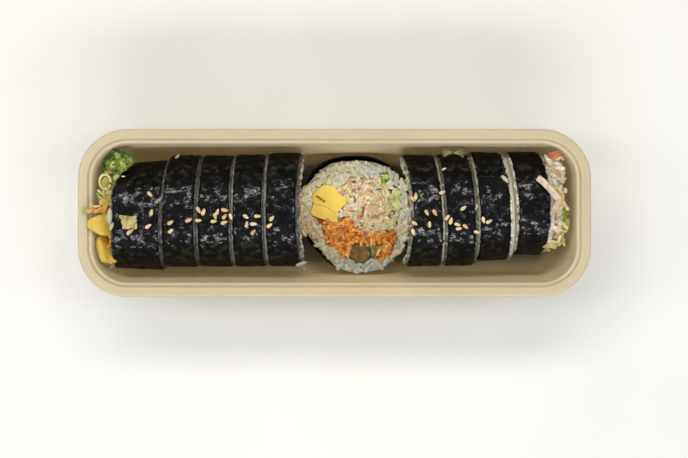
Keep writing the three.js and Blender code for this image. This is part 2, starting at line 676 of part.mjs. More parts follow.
function rightEnd() {
  const start = CUTS.right3.x + 2.8;
  const parts = {
    crab: bar([[start, 12.6, 32], [89, 16.6, 33.4], [91.2, 18.8, 34.8], [93.8, 22.4, 37.6],
      [95.8, 25.2, 40.4, 0.8]], 3.8, 2.8, 0.5),
    lettuce: together(
      bar([[start, 0.4, 33], [92, 0.6, 34.6], [98.2, 0.8, 37.2]], 3.6, 2.4),
      frill({ root: [97.4, 0.8, 37.6], from: -80, to: 84, reach: 3.6, rise: 0.1, waves: 2, height: 0.7,
        across: 6 }),
    ),
    cabbage: together(
      bar([[start, -7, 30], [92.6, -8.4, 31.4], [97, -9.4, 34.6, 0.85]], 9.6, 4.4, 0.35),
      bar([[94, -4.2, 34], [97.6, -5.2, 37], [100, -3, 38.6]], 1.9, 1.7),
      bar([[93.6, -12.6, 29.6], [97, -13.4, 33.4], [99.2, -11.2, 35.6]], 1.9, 1.7),
    ),
    carrot: bar([[start, 8.6, 26], [93, 8.8, 29], [98.6, 9.4, 34], [99.4, 9.8, 38]], 2.6, 2.2),
  };
  const grains = [
    ...grainPatch(8, 81, (a, b) => [91.6 + 5.4 * b, 17.6 + 8 * (a - 0.5), 38.4 - 12 * b - 3 * a]),
    ...grainPatch(5, 82, (a, b) => [94.6 + 1.6 * b, 3 + 12 * (a - 0.5), 41 - 5 * b]),
    ...grainPatch(4, 83, (a, b) => [95 + 1.4 * b, -2 + 14 * (a - 0.5), 24 - 5 * b]),
  ];
  return endSlice("right_4", 42, [0, 3.4], parts, grains);
}

// Strands and scraps of leaf that lie loose on the slices.
function scraps() {
  const knot = [51.4, 26.3, 35.8];
  const wing = { root: knot, reach: 4.4, rise: 0.1, waves: 1, height: 0.8, across: 4 };
  const curled = { root: [-87.4, -3.9, 48.9], from: -60, to: 230, reach: 3.4, rise: 0.06, waves: 3,
    height: 0.55, across: 10 };
  const bow = together(lump(knot, [1.4, 0.9, 0.8]), frill({ ...wing, from: -24, to: 24 }),
    frill({ ...wing, from: 154, to: 208 }));
  const strand = together(
    bar([[86.9, 14.9, 44.9], [90, 12.2, 45.6], [93.4, 8.4, 46.3], [95.8, 5.4, 46.5]], 3.2, 1.5),
    bar([[95.6, 5.8, 46.5], [94, 2, 46.5], [92.4, -0.6, 46.3, 0.7]], 2.8, 1.5),
  );
  return [
    named("lettuce_scrap_left", geometryOf(frill(curled)(0))),
    named("lettuce_scrap_right", geometryOf(bow(0))),
    named("crab_strand", geometryOf(strand(0))),
  ];
}

// ---- The whole ---------------------------------------------------------------------------------------------

const model = new THREE.Group();
model.add(
  named("tray", trayGeometry()),
  ...leftEnd(),
  ...["left_2", "left_3", "left_4"].flatMap((name, i) => plainSlice(name, 21 + i)),
  ...facingSlice("left_5", 1, 35, 31),
  ...flatSlice(),
  ...facingSlice("right_1", -1, -70, 32),
  ...["right_2", "right_3"].flatMap((name, i) => plainSlice(name, 25 + i)),
  ...rightEnd(),
  ...scraps(),
);

export default model;
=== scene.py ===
"""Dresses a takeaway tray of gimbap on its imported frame.

A beige moulded tray holds one seaweed and rice roll, cut into ten slices. Nine slices stand on edge in two
groups, and the one between the groups lies face up. Lengths are millimetres in the frame's own axes: +Z up,
+X along the tray to the right, +Y to the far side. They become metres where a mesh is handed to Blender.
"""

import logging
import math
from dataclasses import dataclass, field
from enum import Enum
from typing import Callable, Sequence

import bmesh
import bpy
import numpy as np
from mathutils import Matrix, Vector, noise


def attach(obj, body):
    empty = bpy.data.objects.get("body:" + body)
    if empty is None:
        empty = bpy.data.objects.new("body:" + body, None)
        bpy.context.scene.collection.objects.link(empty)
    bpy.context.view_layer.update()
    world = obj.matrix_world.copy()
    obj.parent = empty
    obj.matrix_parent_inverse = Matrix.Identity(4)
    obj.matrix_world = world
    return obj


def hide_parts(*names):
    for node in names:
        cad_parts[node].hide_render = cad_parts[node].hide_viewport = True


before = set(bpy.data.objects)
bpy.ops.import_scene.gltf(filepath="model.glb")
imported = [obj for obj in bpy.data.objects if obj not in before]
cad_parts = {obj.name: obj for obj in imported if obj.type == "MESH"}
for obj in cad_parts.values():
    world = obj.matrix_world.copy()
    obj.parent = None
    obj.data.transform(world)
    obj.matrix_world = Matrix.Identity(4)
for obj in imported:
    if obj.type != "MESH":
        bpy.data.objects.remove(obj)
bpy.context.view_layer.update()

MM = 0.001
GAP = 0.3  # air between neighbouring pieces
TINY = 1e-6  # keeps a division from zero
log = logging.getLogger("gimbap")

Outline = Sequence[tuple[float, float]]
Path = Sequence[Sequence[float]]
Warp = Callable[[np.ndarray], np.ndarray]
Tree = bpy.types.NodeTree
Socket = bpy.types.NodeSocket


# ---- Finishes ----------------------------------------------------------------------------------------------


def linear(colour: str) -> tuple[float, float, float, float]:
    """Turns an sRGB hex value into linear red, green, blue and alpha.

    Args:
        colour: The value, such as "#d8cfa6".

    Returns:
        The linear colour, opaque.
    """
    parts = [int(colour[i : i + 2], 16) / 255 for i in (1, 3, 5)]
    red, green, blue = [c / 12.92 if c <= 0.04045 else ((c + 0.055) / 1.055) ** 2.4 for c in parts]
    return red, green, blue, 1.0


def rgb(colour: str) -> np.ndarray:
    """Gives a hex value's linear red, green and blue."""
    return np.array(linear(colour)[:3])


def add_node(
    tree: Tree,
    kind: str,
    settings: dict[str | int, object] | None = None,
    links: dict[str | int, Socket] | None = None,
) -> bpy.types.Node:
    """Adds a node with its settings and links.

    Args:
        tree: The material's or the world's node tree.
        kind: The node's Blender type, without the words that all of them begin with.
        settings: Its properties and the values of its inputs, by name or number.
        links: The sockets that feed its inputs, by name or number.

    Returns:
        The new node.
    """
    node = tree.nodes.new("ShaderNode" + kind)
    for key, value in (settings or {}).items():
        if isinstance(key, int) or key in node.inputs:
            node.inputs[key].default_value = value
        else:
            setattr(node, key, value)
    for key, socket in (links or {}).items():
        tree.links.new(socket, node.inputs[key])
    return node


def per_metre(size: float) -> float:
    """Gives the scale of a pattern whose spots have a size in mm."""
    return 1 / (size * MM)


PATCH_FADE = {"From Min": 0.36, "From Max": 0.64}  # noise values between which a patch's colour comes in
ROUGH_FADE = {"From Min": 0.38, "From Max": 0.62}  # noise values between which the surface turns rougher
FILM_ROUGHNESS = 0.13


@dataclass(frozen=True)
class Finish:
    """A surface: what it is made of, its two tones, and the sizes of its patches and of its grain.

    Attributes:
        name: The real material and how its surface was made.
        slot: The record's material slot. It is not used.
        base: Main colour, as sRGB hex. On a tinted piece it multiplies the piece's own tint.
        shade: Colour of the patches.
        patch: Size of the patches, in mm.
        roughness: Lowest and highest roughness.
        grain: Size of the surface's grain, in mm.
        relief: Height of the grain, in mm.
        ior: Index of refraction.
        tinted: Whether the colour comes from the piece's tint attribute.
        scatter: Share of the light that runs under the surface.
        depth: How far that light runs, in mm.
        coat: Strength of a wet or oily film.
        level: Strength of the reflection under that film.
        reach: How far red, green and blue run, as shares of the depth.
    """

    name: str
    slot: str
    base: str
    shade: str
    patch: float
    roughness: tuple[float, float]
    grain: float
    relief: float
    ior: float = 1.45
    tinted: bool = False
    scatter: float = 0.0
    depth: float = 1.0
    coat: float = 0.0
    level: float = 0.5
    reach: tuple[float, float, float] = (1.0, 0.72, 0.42)

    def material(self) -> bpy.types.Material:
        """Makes the material, or finds it if it is made already.

        Returns:
            The material.
        """
        made = bpy.data.materials.get(self.name)
        if made is not None:
            return made
        made = bpy.data.materials.new(self.name)
        made.use_nodes = True
        tree = made.node_tree
        tree.nodes.clear()
        where = add_node(tree, "TexCoord").outputs["Object"]
        places = {"Vector": where}
        cloudy = add_node(tree, "TexNoise", {"Scale": per_metre(self.patch), "Detail": 3.0}, places)
        share = add_node(tree, "MapRange", PATCH_FADE, {"Value": cloudy.outputs[0]})
        mottled = add_node(tree, "TexNoise", {"Scale": per_metre(self.grain * 4), "Detail": 2.0}, places)
        low, high = self.roughness
        rough = add_node(
            tree, "MapRange", ROUGH_FADE | {"To Min": low, "To Max": high}, {"Value": mottled.outputs[0]}
        )
        height = {"Height": self.height(tree, where)}
        bump = add_node(tree, "Bump", {"Strength": 1.0, "Distance": self.relief * MM}, height)
        surface = add_node(
            tree,
            "BsdfPrincipled",
            {
                "IOR": self.ior,
                "Specular IOR Level": self.level,
                "Subsurface Weight": self.scatter,
                "Subsurface Radius": self.reach,
                "Subsurface Scale": self.depth * MM,
                "Coat Weight": self.coat,
                "Coat Roughness": FILM_ROUGHNESS,
            },
            {
                "Base Color": self.colour(tree, share.outputs[0]),
                "Roughness": rough.outputs[0],
                "Normal": bump.outputs[0],
                "Coat Normal": bump.outputs[0],
            }
            | self.film(tree, where),
        )
        add_node(tree, "OutputMaterial", links={"Surface": surface.outputs[0]})
        return made

    def colour(self, tree: Tree, share: Socket) -> Socket:
        """Adds the base colour with its patches.

        Args:
            tree: The material's node tree.
            share: How much of the patches' colour shows.

        Returns:
            The socket of the colour.
        """
        tones = {"data_type": "RGBA", 6: linear(self.base), 7: linear(self.shade)}
        patched = add_node(tree, "Mix", tones, {0: share}).outputs[2]
        if not self.tinted:
            return patched
        tint = add_node(tree, "Attribute", {"attribute_name": "tint"}).outputs["Color"]
        times = {"data_type": "RGBA", "blend_type": "MULTIPLY", 0: 1.0}
        return add_node(tree, "Mix", times, {6: patched, 7: tint}).outputs[2]

    def film(self, tree: Tree, where: Socket) -> dict[str, Socket]:
        """Gives the sockets of an uneven film: none, where the film is even or absent."""
        return {}

    def height(self, tree: Tree, where: Socket) -> Socket:
        """Adds the height of the surface's grain, and gives its socket."""
        grain = {"Scale": per_metre(self.grain), "Detail": 4.0}
        return add_node(tree, "TexNoise", grain, {"Vector": where}).outputs[0]


@dataclass(frozen=True)
class PressedSeaweed(Finish):
    """Dried laver, pressed and roasted: a felt of fronds with thin crinkled ridges between flat cells.

    Attributes:
        cell: Size of the flat cells between crinkles, in mm.
        ridge: Width of the crinkles, as a share of a cell.
        crease: Height of the crinkles, as a share of the relief.
        brushed: Heights between which the oil begins, in mm.
    """

    cell: float = 2.2
    ridge: float = 0.16
    crease: float = 0.55
    brushed: tuple[float, float] = (34.0, 42.0)

    def film(self, tree: Tree, where: Socket) -> dict[str, Socket]:
        """Adds the oil that was brushed on from above: it lies in small patches, and not far down the sides.

        Args:
            tree: The material's node tree.
            where: The coordinates that it reads.

        Returns:
            The socket that feeds the shader's coat.
        """
        spots = add_node(
            tree, "TexNoise", {"Scale": per_metre(self.cell * 1.6), "Detail": 4.0}, {"Vector": where}
        )
        oiled = add_node(tree, "MapRange", {"From Min": 0.5, "From Max": 0.6}, {"Value": spots.outputs[0]})
        height = add_node(tree, "SeparateXYZ", links={"Vector": where}).outputs["Z"]
        low, high = self.brushed
        rise = {"From Min": low * MM, "From Max": high * MM}
        brushed = add_node(tree, "MapRange", rise, {"Value": height})
        both = {0: oiled.outputs[0], 1: brushed.outputs[0]}
        return {"Coat Weight": add_node(tree, "Math", {"operation": "MULTIPLY"}, both).outputs[0]}

    def height(self, tree: Tree, where: Socket) -> Socket:
        """Adds crinkles on top of the felt's grain.

        Args:
            tree: The material's node tree.
            where: The coordinates that it reads.

        Returns:
            The socket of the height.
        """
        places = {"Vector": where}
        felt = add_node(tree, "TexNoise", {"Scale": per_metre(self.grain), "Detail": 1.5}, places)
        bend = add_node(tree, "TexNoise", {"Scale": per_metre(self.cell * 2), "Detail": 2.0}, places)
        bent = add_node(
            tree,
            "VectorMath",
            {"operation": "MULTIPLY_ADD", 1: (self.cell * MM,) * 3},
            {0: bend.outputs["Color"], 2: where},
        )
        edges = add_node(
            tree,
            "TexVoronoi",
            {"feature": "DISTANCE_TO_EDGE", "Scale": per_metre(self.cell)},
            {"Vector": bent.outputs[0]},
        )
        ridges = add_node(
            tree,
            "MapRange",
            {"From Min": 0.0, "From Max": self.ridge, "To Min": 1.0, "To Max": 0.0},
            {"Value": edges.outputs["Distance"]},
        )
        both = {0: ridges.outputs[0], 2: felt.outputs[0]}
        return add_node(tree, "Math", {"operation": "MULTIPLY_ADD", 1: self.crease}, both).outputs[0]


# Polypropylene moulded in a spark-eroded tool: an even satin with a soft sheen and no gloss.
TRAY_PLASTIC = Finish(
    "polypropylene_moulded_beige", "tray", "#b8ac8e", "#b4a889", 30.0, (0.36, 0.48), 0.5, 0.012, 1.49,
    scatter=0.7, depth=5.0, reach=(1.0, 0.9, 0.74),
)
# Roasted laver brushed with sesame oil: nearly black, with patches of oil that glint on its crinkles.
SEAWEED = PressedSeaweed(
    "laver_roasted_oiled", "nori", "#040405", "#070707", 6.0, (0.4, 0.6), 0.9, 0.09, 1.52, level=0.08,
    cell=1.9,
)
# Short-grain rice, steamed: milky grains that let light in, with a moist skin.
RICE = Finish(
    "rice_short_grain_steamed", "rice", "#ffffff", "#eeece4", 3.0, (0.28, 0.5), 0.8, 0.05, 1.42, tinted=True,
    scatter=0.25, depth=1.4,
)
# Egg, beaten, fried in thin layers and cut: firm, matt and finely pored.
EGG = Finish(
    "egg_fried_cut", "egg", "#e6c85a", "#dfbf52", 5.0, (0.42, 0.6), 0.6, 0.04, 1.4, tinted=True, scatter=0.12,
    depth=1.2,
)
# Carrot, shredded and stir-fried in oil: soft, wet and deep orange.
CARROT = Finish(
    "carrot_shredded_fried", "carrot", "#ffffff", "#e4cdb0", 2.0, (0.22, 0.42), 0.7, 0.05, 1.42, tinted=True,
    scatter=0.18, depth=1.2, coat=0.15,
)
# Crab stick pulled into shreds and bound with mayonnaise: wet, in white, pink and red.
CRAB = Finish(
    "crab_stick_shredded", "crab", "#ffffff", "#ead8cc", 2.0, (0.25, 0.5), 0.6, 0.06, 1.42, tinted=True,
    scatter=0.2, depth=1.2,
)
# Burdock and cucumber brined in soy: glassy and dense.
PICKLE = Finish(
    "pickle_brined_cut", "pickle", "#ffffff", "#c8bf98", 2.4, (0.16, 0.34), 0.9, 0.04, 1.42, tinted=True,
    scatter=0.3, depth=1.6, coat=0.2,
)
# Fresh leaf: waxy skin with fine blisters between its veins.
LEAF = Finish(
    "lettuce_fresh_leaf", "lettuce", "#ffffff", "#c9cf9c", 3.0, (0.28, 0.5), 1.3, 0.12, 1.42, tinted=True,
    scatter=0.15, depth=0.8,
)
# White cabbage, shredded: translucent, with a wet cut edge.
CABBAGE = Finish(
    "cabbage_shredded", "cabbage", "#ffffff", "#e0dfb8", 3.0, (0.24, 0.45), 1.0, 0.06, 1.42, tinted=True,
    scatter=0.25, depth=1.2,
)
# Sesame, toasted: a dry ribbed skin, darker at the tip.
SESAME = Finish(
    "sesame_toasted", "nori", "#ffffff", "#e2cfa8", 1.2, (0.42, 0.62), 0.3, 0.03, 1.46, tinted=True,
    scatter=0.08, depth=0.5,
)
# Matt white card under the tray.
CARD = Finish("card_matt_white", "tray", "#dcdbd7", "#d8d7d3", 90.0, (0.8, 0.9), 1.0, 0.005)


# ---- Meshes ------------------------------------------------------------------------------------------------


@dataclass
class Shape:
    """A mesh in arrays.

    Attributes:
        points: Places of its corners, in mm.
        corners: The corner numbers of all faces, one face after the other.
        sides: How many corners each face has.
    """

    points: np.ndarray
    corners: np.ndarray
    sides: np.ndarray

    @classmethod
    def of(cls, mesh: bmesh.types.BMesh) -> "Shape":
        """Takes the arrays out of a bmesh, and frees it.

        Args:
            mesh: A closed or open skin. Its faces are turned to point out first.

        Returns:
            The shape.
        """
        bmesh.ops.recalc_face_normals(mesh, faces=mesh.faces[:])
        mesh.verts.index_update()
        points = np.array([vert.co[:] for vert in mesh.verts], float).reshape(-1, 3)
        corners = np.array([vert.index for face in mesh.faces for vert in face.verts], np.int64)
        sides = np.array([len(face.verts) for face in mesh.faces], np.int64)
        mesh.free()
        return cls(points, corners, sides)


def linked(name: str, mesh: bpy.types.Mesh, finish: Finish) -> bpy.types.Object:
    """Makes an object of a mesh, with its finish.

    Args:
        name: Its name.
        mesh: Its mesh.
        finish: Its finish.

    Returns:
        The object, in the scene.
    """
    piece = bpy.data.objects.new(name, mesh)
    bpy.context.scene.collection.objects.link(piece)
    mesh.materials.append(finish.material())
    return piece


class Mould:
    """Gathers shapes, and pours them into one mesh."""

    def __init__(self) -> None:
        """Starts empty."""
        self.points: list[np.ndarray] = []
        self.corners: list[np.ndarray] = []
        self.sides: list[np.ndarray] = []
        self.tints: list[np.ndarray] = []
        self.count = 0

    def add(self, shape: Shape, tint: np.ndarray | Sequence[float] = (1.0, 1.0, 1.0)) -> None:
        """Adds one shape where it is.

        Args:
            shape: The shape.
            tint: One linear colour, or one for each point. White leaves the finish's own colour.
        """
        count = len(shape.points)
        self.points.append(shape.points)
        self.corners.append(shape.corners + self.count)
        self.sides.append(shape.sides)
        self.tints.append(np.broadcast_to(np.asarray(tint, float), (count, 3)))
        self.count += count

    def scatter(self, shape: Shape, turns: np.ndarray, places: np.ndarray, tints: np.ndarray) -> None:
        """Adds a copy of a shape at each place.

        Args:
            shape: The shape, about its own middle.
            turns: (copies, 3, 3) turns, which may also scale.
            places: (copies, 3) places, in mm.
            tints: (copies, 3) linear colours.
        """
        copies, count = len(places), len(shape.points)
        if not copies:
            return
        points = np.einsum("kij,nj->kni", turns, shape.points) + places[:, None, :]
        steps = self.count + np.arange(copies)[:, None] * count
        self.points.append(points.reshape(-1, 3))
        self.corners.append((shape.corners[None, :] + steps).ravel())
        self.sides.append(np.tile(shape.sides, copies))
        self.tints.append(np.repeat(tints, count, axis=0))
        self.count += copies * count

    def press(self, other: "Mould", rule: Warp) -> None:
        """Adds what another mould holds, after a rule has moved its points.

        Args:
            other: The other mould.
            rule: The rule.
        """
        points = rule(np.concatenate(other.points))
        shape = Shape(points, np.concatenate(other.corners), np.concatenate(other.sides))
        self.add(shape, np.concatenate(other.tints))

    def sheet(self, name: str, finish: Finish) -> bpy.types.Object:
        """Makes an object of four-sided faces that isn't part of the food or the tray.

        Args:
            name: Its name.
            finish: Its finish.

        Returns:
            The object.
        """
        mesh = bpy.data.meshes.new(name)
        points = np.concatenate(self.points) * MM
        mesh.from_pydata(points.tolist(), [], np.concatenate(self.corners).reshape(-1, 4).tolist())
        return linked(name, mesh, finish)

    def pour(
        self,
        name: str,
        finish: Finish,
        nodes: Sequence[str] = (),
        warp: Warp | None = None,
        sharp: float = 50.0,
        wall: float = 0.0,
    ) -> bpy.types.Object:
        """Makes the object, dresses it and sets it on the frame.

        Args:
            name: The piece's name.
            finish: Its finish.
            nodes: The CAD nodes that it stands for.
            warp: A rule that moves its points, in mm.
            sharp: Edges that turn by more than this many degrees stay crisp.
            wall: Thickness that an open skin is given inwards, in mm.

        Returns:
            The object.
        """
        points = np.concatenate(self.points)
        if warp is not None:
            points = warp(points)
        corners, sides = np.concatenate(self.corners), np.concatenate(self.sides)
        mesh = bpy.data.meshes.new(name)
        mesh.vertices.add(len(points))
        mesh.vertices.foreach_set("co", (points * MM).ravel())
        mesh.loops.add(len(corners))
        mesh.loops.foreach_set("vertex_index", corners)
        mesh.polygons.add(len(sides))
        mesh.polygons.foreach_set("loop_start", np.cumsum(sides) - sides)
        mesh.update(calc_edges=True)
        mesh.validate()
        tint = mesh.attributes.new("tint", "FLOAT_COLOR", "POINT")
        colours = np.concatenate([np.concatenate(self.tints), np.ones((len(points), 1))], axis=1)
        tint.data.foreach_set("color", colours.ravel())
        mesh.shade_smooth()
        mesh.set_sharp_from_angle(angle=math.radians(sharp))
        piece = linked(name, mesh, finish)
        if wall:
            thicken = piece.modifiers.new("sheet", "SOLIDIFY")
            thicken.thickness = wall * MM
            thicken.offset = -1.0
        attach(piece, "root")
        if nodes:
            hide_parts(*nodes)
        log.info("%s: %d faces, for %s", name, len(sides), ", ".join(nodes) or "no node")
        return piece


def drawn(rings: np.ndarray, capped: bool = True) -> bmesh.types.BMesh:
    """Draws a skin by extruding its first ring to the place of each next one.

    Args:
        rings: (rings, points around, 3) places, in mm.
        capped: Whether the first and the last ring are filled.

    Returns:
        The skin.
    """
    skin = bmesh.new()
    order = skin.verts.layers.int.new("order")
    first = [skin.verts.new(point) for point in rings[0]]
    for number, vert in enumerate(first):
        vert[order] = number
    edges = [skin.edges.new((vert, first[i - 1])) for i, vert in enumerate(first)]
    last = first
    for ring in rings[1:]:
        made = bmesh.ops.extrude_edge_only(skin, edges=edges)["geom"]
        last = [part for part in made if isinstance(part, bmesh.types.BMVert)]
        fresh = set(last)
        edges = [
            part for part in made if isinstance(part, bmesh.types.BMEdge) and fresh.issuperset(part.verts)
        ]
        for vert in last:
            vert.co = ring[vert[order]]
    if capped:
        skin.faces.new(first)
        skin.faces.new(sorted(last, key=lambda vert: vert[order]))
    return skin


def cloud(points: np.ndarray, size: float, seed: float = 0.0) -> np.ndarray:
    """Reads smooth noise at some points.

    Args:
        points: (n, 3) places, in mm.
        size: Size of its bumps, in mm.
        seed: Moves the noise, so that pieces differ.

    Returns:
        (n) values from about -1 to 1.
    """
    scaled = points / size + seed * 7.31
    return np.array([noise.noise(point) for point in scaled.tolist()])


def cells(points: np.ndarray, size: float, seed: float = 0.0) -> np.ndarray:
    """Reads how far each point is from the middle of its nearest cell.

    Args:
        points: (n, 3) places, in mm.
        size: Size of the cells, in mm.
        seed: Moves the cells, so that pieces differ.

    Returns:
        (n) distances in cells, from 0 to about 1.
    """
    scaled = points / size + seed * 5.17
    return np.array([noise.voronoi(point)[0][0] for point in scaled.tolist()])


def step(values: np.ndarray | float, low: float, high: float) -> np.ndarray:
    """Rises smoothly from 0 at low to 1 at high."""
    share = np.clip((np.asarray(values, float) - low) / (high - low), 0, 1)
    return share * share * (3 - 2 * share)


def turns(yaw: np.ndarray, pitch: np.ndarray, roll: np.ndarray, scale: np.ndarray) -> np.ndarray:
    """Builds turning matrices for pieces that lie along X.

    Args:
        yaw: Turns about Z, in radians, made last.
        pitch: Turns about Y, made second.
        roll: Turns about X, made first.
        scale: Sizes.

    Returns:
        (n, 3, 3) matrices.
    """
    (cy, sy), (cp, sp), (cr, sr) = [(np.cos(a), np.sin(a)) for a in (yaw, pitch, roll)]
    rows = [
        [cy * cp, cy * sp * sr - sy * cr, cy * sp * cr + sy * sr],
        [sy * cp, sy * sp * sr + cy * cr, sy * sp * cr - cy * sr],
        [-sp, cp * sr, cp * cr],
    ]
    return np.stack([np.stack(row, -1) for row in rows], -2) * np.asarray(scale)[..., None, None]


def flowing(path: Sequence[Sequence[float]], count: int) -> np.ndarray:
    """Draws a smooth line through some points.

    Args:
        path: The points, each with any extra values after x, y and z.
        count: How many points the line gets.

    Returns:
        (count, values) points along it.
    """
    knots = np.array(path, float)
    knots = np.concatenate([[2 * knots[0] - knots[1]], knots, [2 * knots[-1] - knots[-2]]])
    along = np.linspace(0, len(path) - 1 - 1e-9, count)
    span, t = along.astype(int), (along % 1)[:, None]
    a, b, c, d = [knots[span + i] for i in range(4)]
    return 0.5 * (2 * b + (c - a) * t + (2 * a - 5 * b + 4 * c - d) * t**2 + (3 * b - a - 3 * c + d) * t**3)


def strand(
    path: Sequence[Sequence[float]], width: float, thickness: float, around: int = 10, steps: int = 18,
    tilt: float = 0.0, twist: float = 0.0, squareness: float = 0.6,
) -> Shape:
    """Sweeps an oblong section along a smooth line. A fourth value of a point scales the section there.

    Args:
        path: Points of the line, in mm.
        width: Width of the section, in mm.
        thickness: Thickness of the section, in mm.
        around: How many corners the section has.
        steps: How many sections there are.
        tilt: Turn of the section about the line, in radians.
        twist: How much further it turns by the end.
        squareness: 1 for an oval section, and less for one with fuller corners.

    Returns:
        The closed strand.
    """
    full = [tuple(point) + (1.0,) * (4 - len(point)) for point in path]
    line = flowing(full, steps)
    ahead = np.gradient(line[:, :3], axis=0)
    ahead /= np.linalg.norm(ahead, axis=1)[:, None]
    side = np.cross((0.0, 0.0, 1.0), ahead)
    side[np.linalg.norm(side, axis=1) < 0.2] = (0.0, 1.0, 0.0)
    side -= ahead * np.sum(side * ahead, axis=1)[:, None]
    side /= np.linalg.norm(side, axis=1)[:, None]
    up = np.cross(ahead, side)
    angle = np.arange(around) / around * 2 * np.pi + np.pi / around
    across = np.sign(np.cos(angle)) * np.abs(np.cos(angle)) ** squareness * width / 2
    above = np.sign(np.sin(angle)) * np.abs(np.sin(angle)) ** squareness * thickness / 2
    turn = tilt + twist * np.linspace(0, 1, steps)
    scale = np.maximum(line[:, 3], 0.05)
    a = (across[None, :] * np.cos(turn)[:, None] - above[None, :] * np.sin(turn)[:, None]) * scale[:, None]
    b = (across[None, :] * np.sin(turn)[:, None] + above[None, :] * np.cos(turn)[:, None]) * scale[:, None]
    rings = line[:, None, :3] + a[..., None] * side[:, None, :] + b[..., None] * up[:, None, :]
    blunt = 0.45 * thickness
    ends = [
        rings[0].mean(0) + (rings[0] - rings[0].mean(0)) * 0.6 - ahead[0] * blunt * 0.5,
        rings[-1].mean(0) + (rings[-1] - rings[-1].mean(0)) * 0.6 + ahead[-1] * blunt * 0.5,
    ]
    return Shape.of(drawn(np.concatenate([ends[:1], rings, ends[1:]])))


def rounded(outline: Outline, count: int, passes: int = 2) -> np.ndarray:
    """Rounds an outline's corners, and spaces its points evenly.

    Args:
        outline: Its corners.
        count: How many points it gets.
        passes: How often each corner is cut off. More is rounder.

    Returns:
        (count, 2) points.
    """
    points = np.array(outline, float)
    for _ in range(passes):
        ahead = np.roll(points, -1, axis=0)
        points = np.stack([points * 0.75 + ahead * 0.25, points * 0.25 + ahead * 0.75], 1).reshape(-1, 2)
    closed = np.concatenate([points, points[:1]])
    reach = np.concatenate([[0], np.cumsum(np.linalg.norm(np.diff(closed, axis=0), axis=1))])
    at = np.linspace(0, reach[-1], count, endpoint=False)
    return np.stack([np.interp(at, reach, closed[:, i]) for i in (0, 1)], 1)


def inside(outline: np.ndarray, points: np.ndarray) -> np.ndarray:
    """Tells which points lie inside an outline.

    Args:
        outline: (m, 2) corners.
        points: (n, 2) places.

    Returns:
        (n) truths.
    """
    within = np.zeros(len(points), bool)
    x, y = points[:, 0], points[:, 1]
    for (ax, ay), (bx, by) in zip(outline, np.roll(outline, 1, axis=0)):
        crosses = (ay > y) != (by > y)
        within ^= crosses & (x < (bx - ax) * (y - ay) / (by - ay + 1e-12) + ax)
    return within


def distance_to(outline: np.ndarray, points: np.ndarray) -> np.ndarray:
    """Measures how far some points are from an outline's line.

    Args:
        outline: (m, 2) closely spaced points.
        points: (n, 2) places.

    Returns:
        (n) distances, in mm.
    """
    return np.linalg.norm(points[:, None, :] - outline[None, :, :], axis=2).min(1)


def slab(
    outline: np.ndarray, bottom: float, top: float, edge: float, lumps: float = 0.0, size: float = 3.0,
    seed: float = 0.0,
) -> Shape:
    """Makes a slab with a rounded upper edge and an uneven top.

    Args:
        outline: (n, 2) evenly spaced points.
        bottom: Height of its underside, in mm.
        top: Height of its top, in mm.
        edge: Radius of its upper edge, in mm.
        lumps: Height of the top's unevenness, in mm.
        size: Size of the top's lumps, in mm.
        seed: Makes its lumps its own.

    Returns:
        The closed slab.
    """
    middle = outline.mean(0)
    mean = np.linalg.norm(outline - middle, axis=1).mean()
    angles = np.linspace(0, 1.57, 5)
    arc = [(1 - edge / mean * (1 - math.cos(a)), top - edge + edge * math.sin(a)) for a in angles]
    inwards = (0.94, 0.86, 0.76, 0.64, 0.52, 0.4, 0.28, 0.16, 0.04)
    sections = [(share, bottom) for share in (0.02, 0.5, 0.95)] + [(1.0, bottom + 0.1)]
    sections += [(1.0, bottom + (top - edge - bottom) * t) for t in (0.3, 0.6, 0.85)]
    sections += arc + [(arc[-1][0] * share, top) for share in inwards]
    rings = np.array([
        [(*(middle + (point - middle) * share), z) for point in outline] for share, z in sections
    ])
    flat = rings.reshape(-1, 3)
    lift = cloud(flat * (1, 1, 0.3), size, seed) + 0.5 * cloud(flat, size / 2.5, seed + 3)
    upper = step(flat[:, 2], top - 2 * edge - 0.5, top)
    flat[:, 2] += lumps * lift * upper
    flat[:, :2] += (0.25 * lumps * cloud(flat, size, seed + 9) * (1 - upper * 0.5))[:, None]
    return Shape.of(drawn(flat.reshape(rings.shape)))


def ribbon(points: np.ndarray) -> Shape:
    """Makes an open skin over a grid of places.

    Args:
        points: (rows, columns, 3) places, in mm.

    Returns:
        The skin.
    """
    rows, columns = points.shape[:2]
    skin = bmesh.new()
    bmesh.ops.create_grid(skin, x_segments=columns - 1, y_segments=rows - 1, size=1.0)
    skin.verts.ensure_lookup_table()
    for vert, point in zip(skin.verts, points.reshape(-1, 3).tolist()):
        vert.co = point
    return Shape.of(skin)


def spread(count: int, radius: float, rng: np.random.Generator) -> np.ndarray:
    """Spreads places evenly over a disc, each moved a little.

    Args:
        count: How many places.
        radius: Radius of the disc, in mm.
        rng: Where the small moves come from.

    Returns:
        (count, 2) places.
    """
    number = np.arange(count)
    reach = radius * np.sqrt((number + 0.5) / count)
    angle = number * math.pi * (3 - math.sqrt(5))
    even = np.stack([reach * np.cos(angle), reach * np.sin(angle)], 1)
    return even + rng.uniform(-0.8, 0.8, (count, 2))


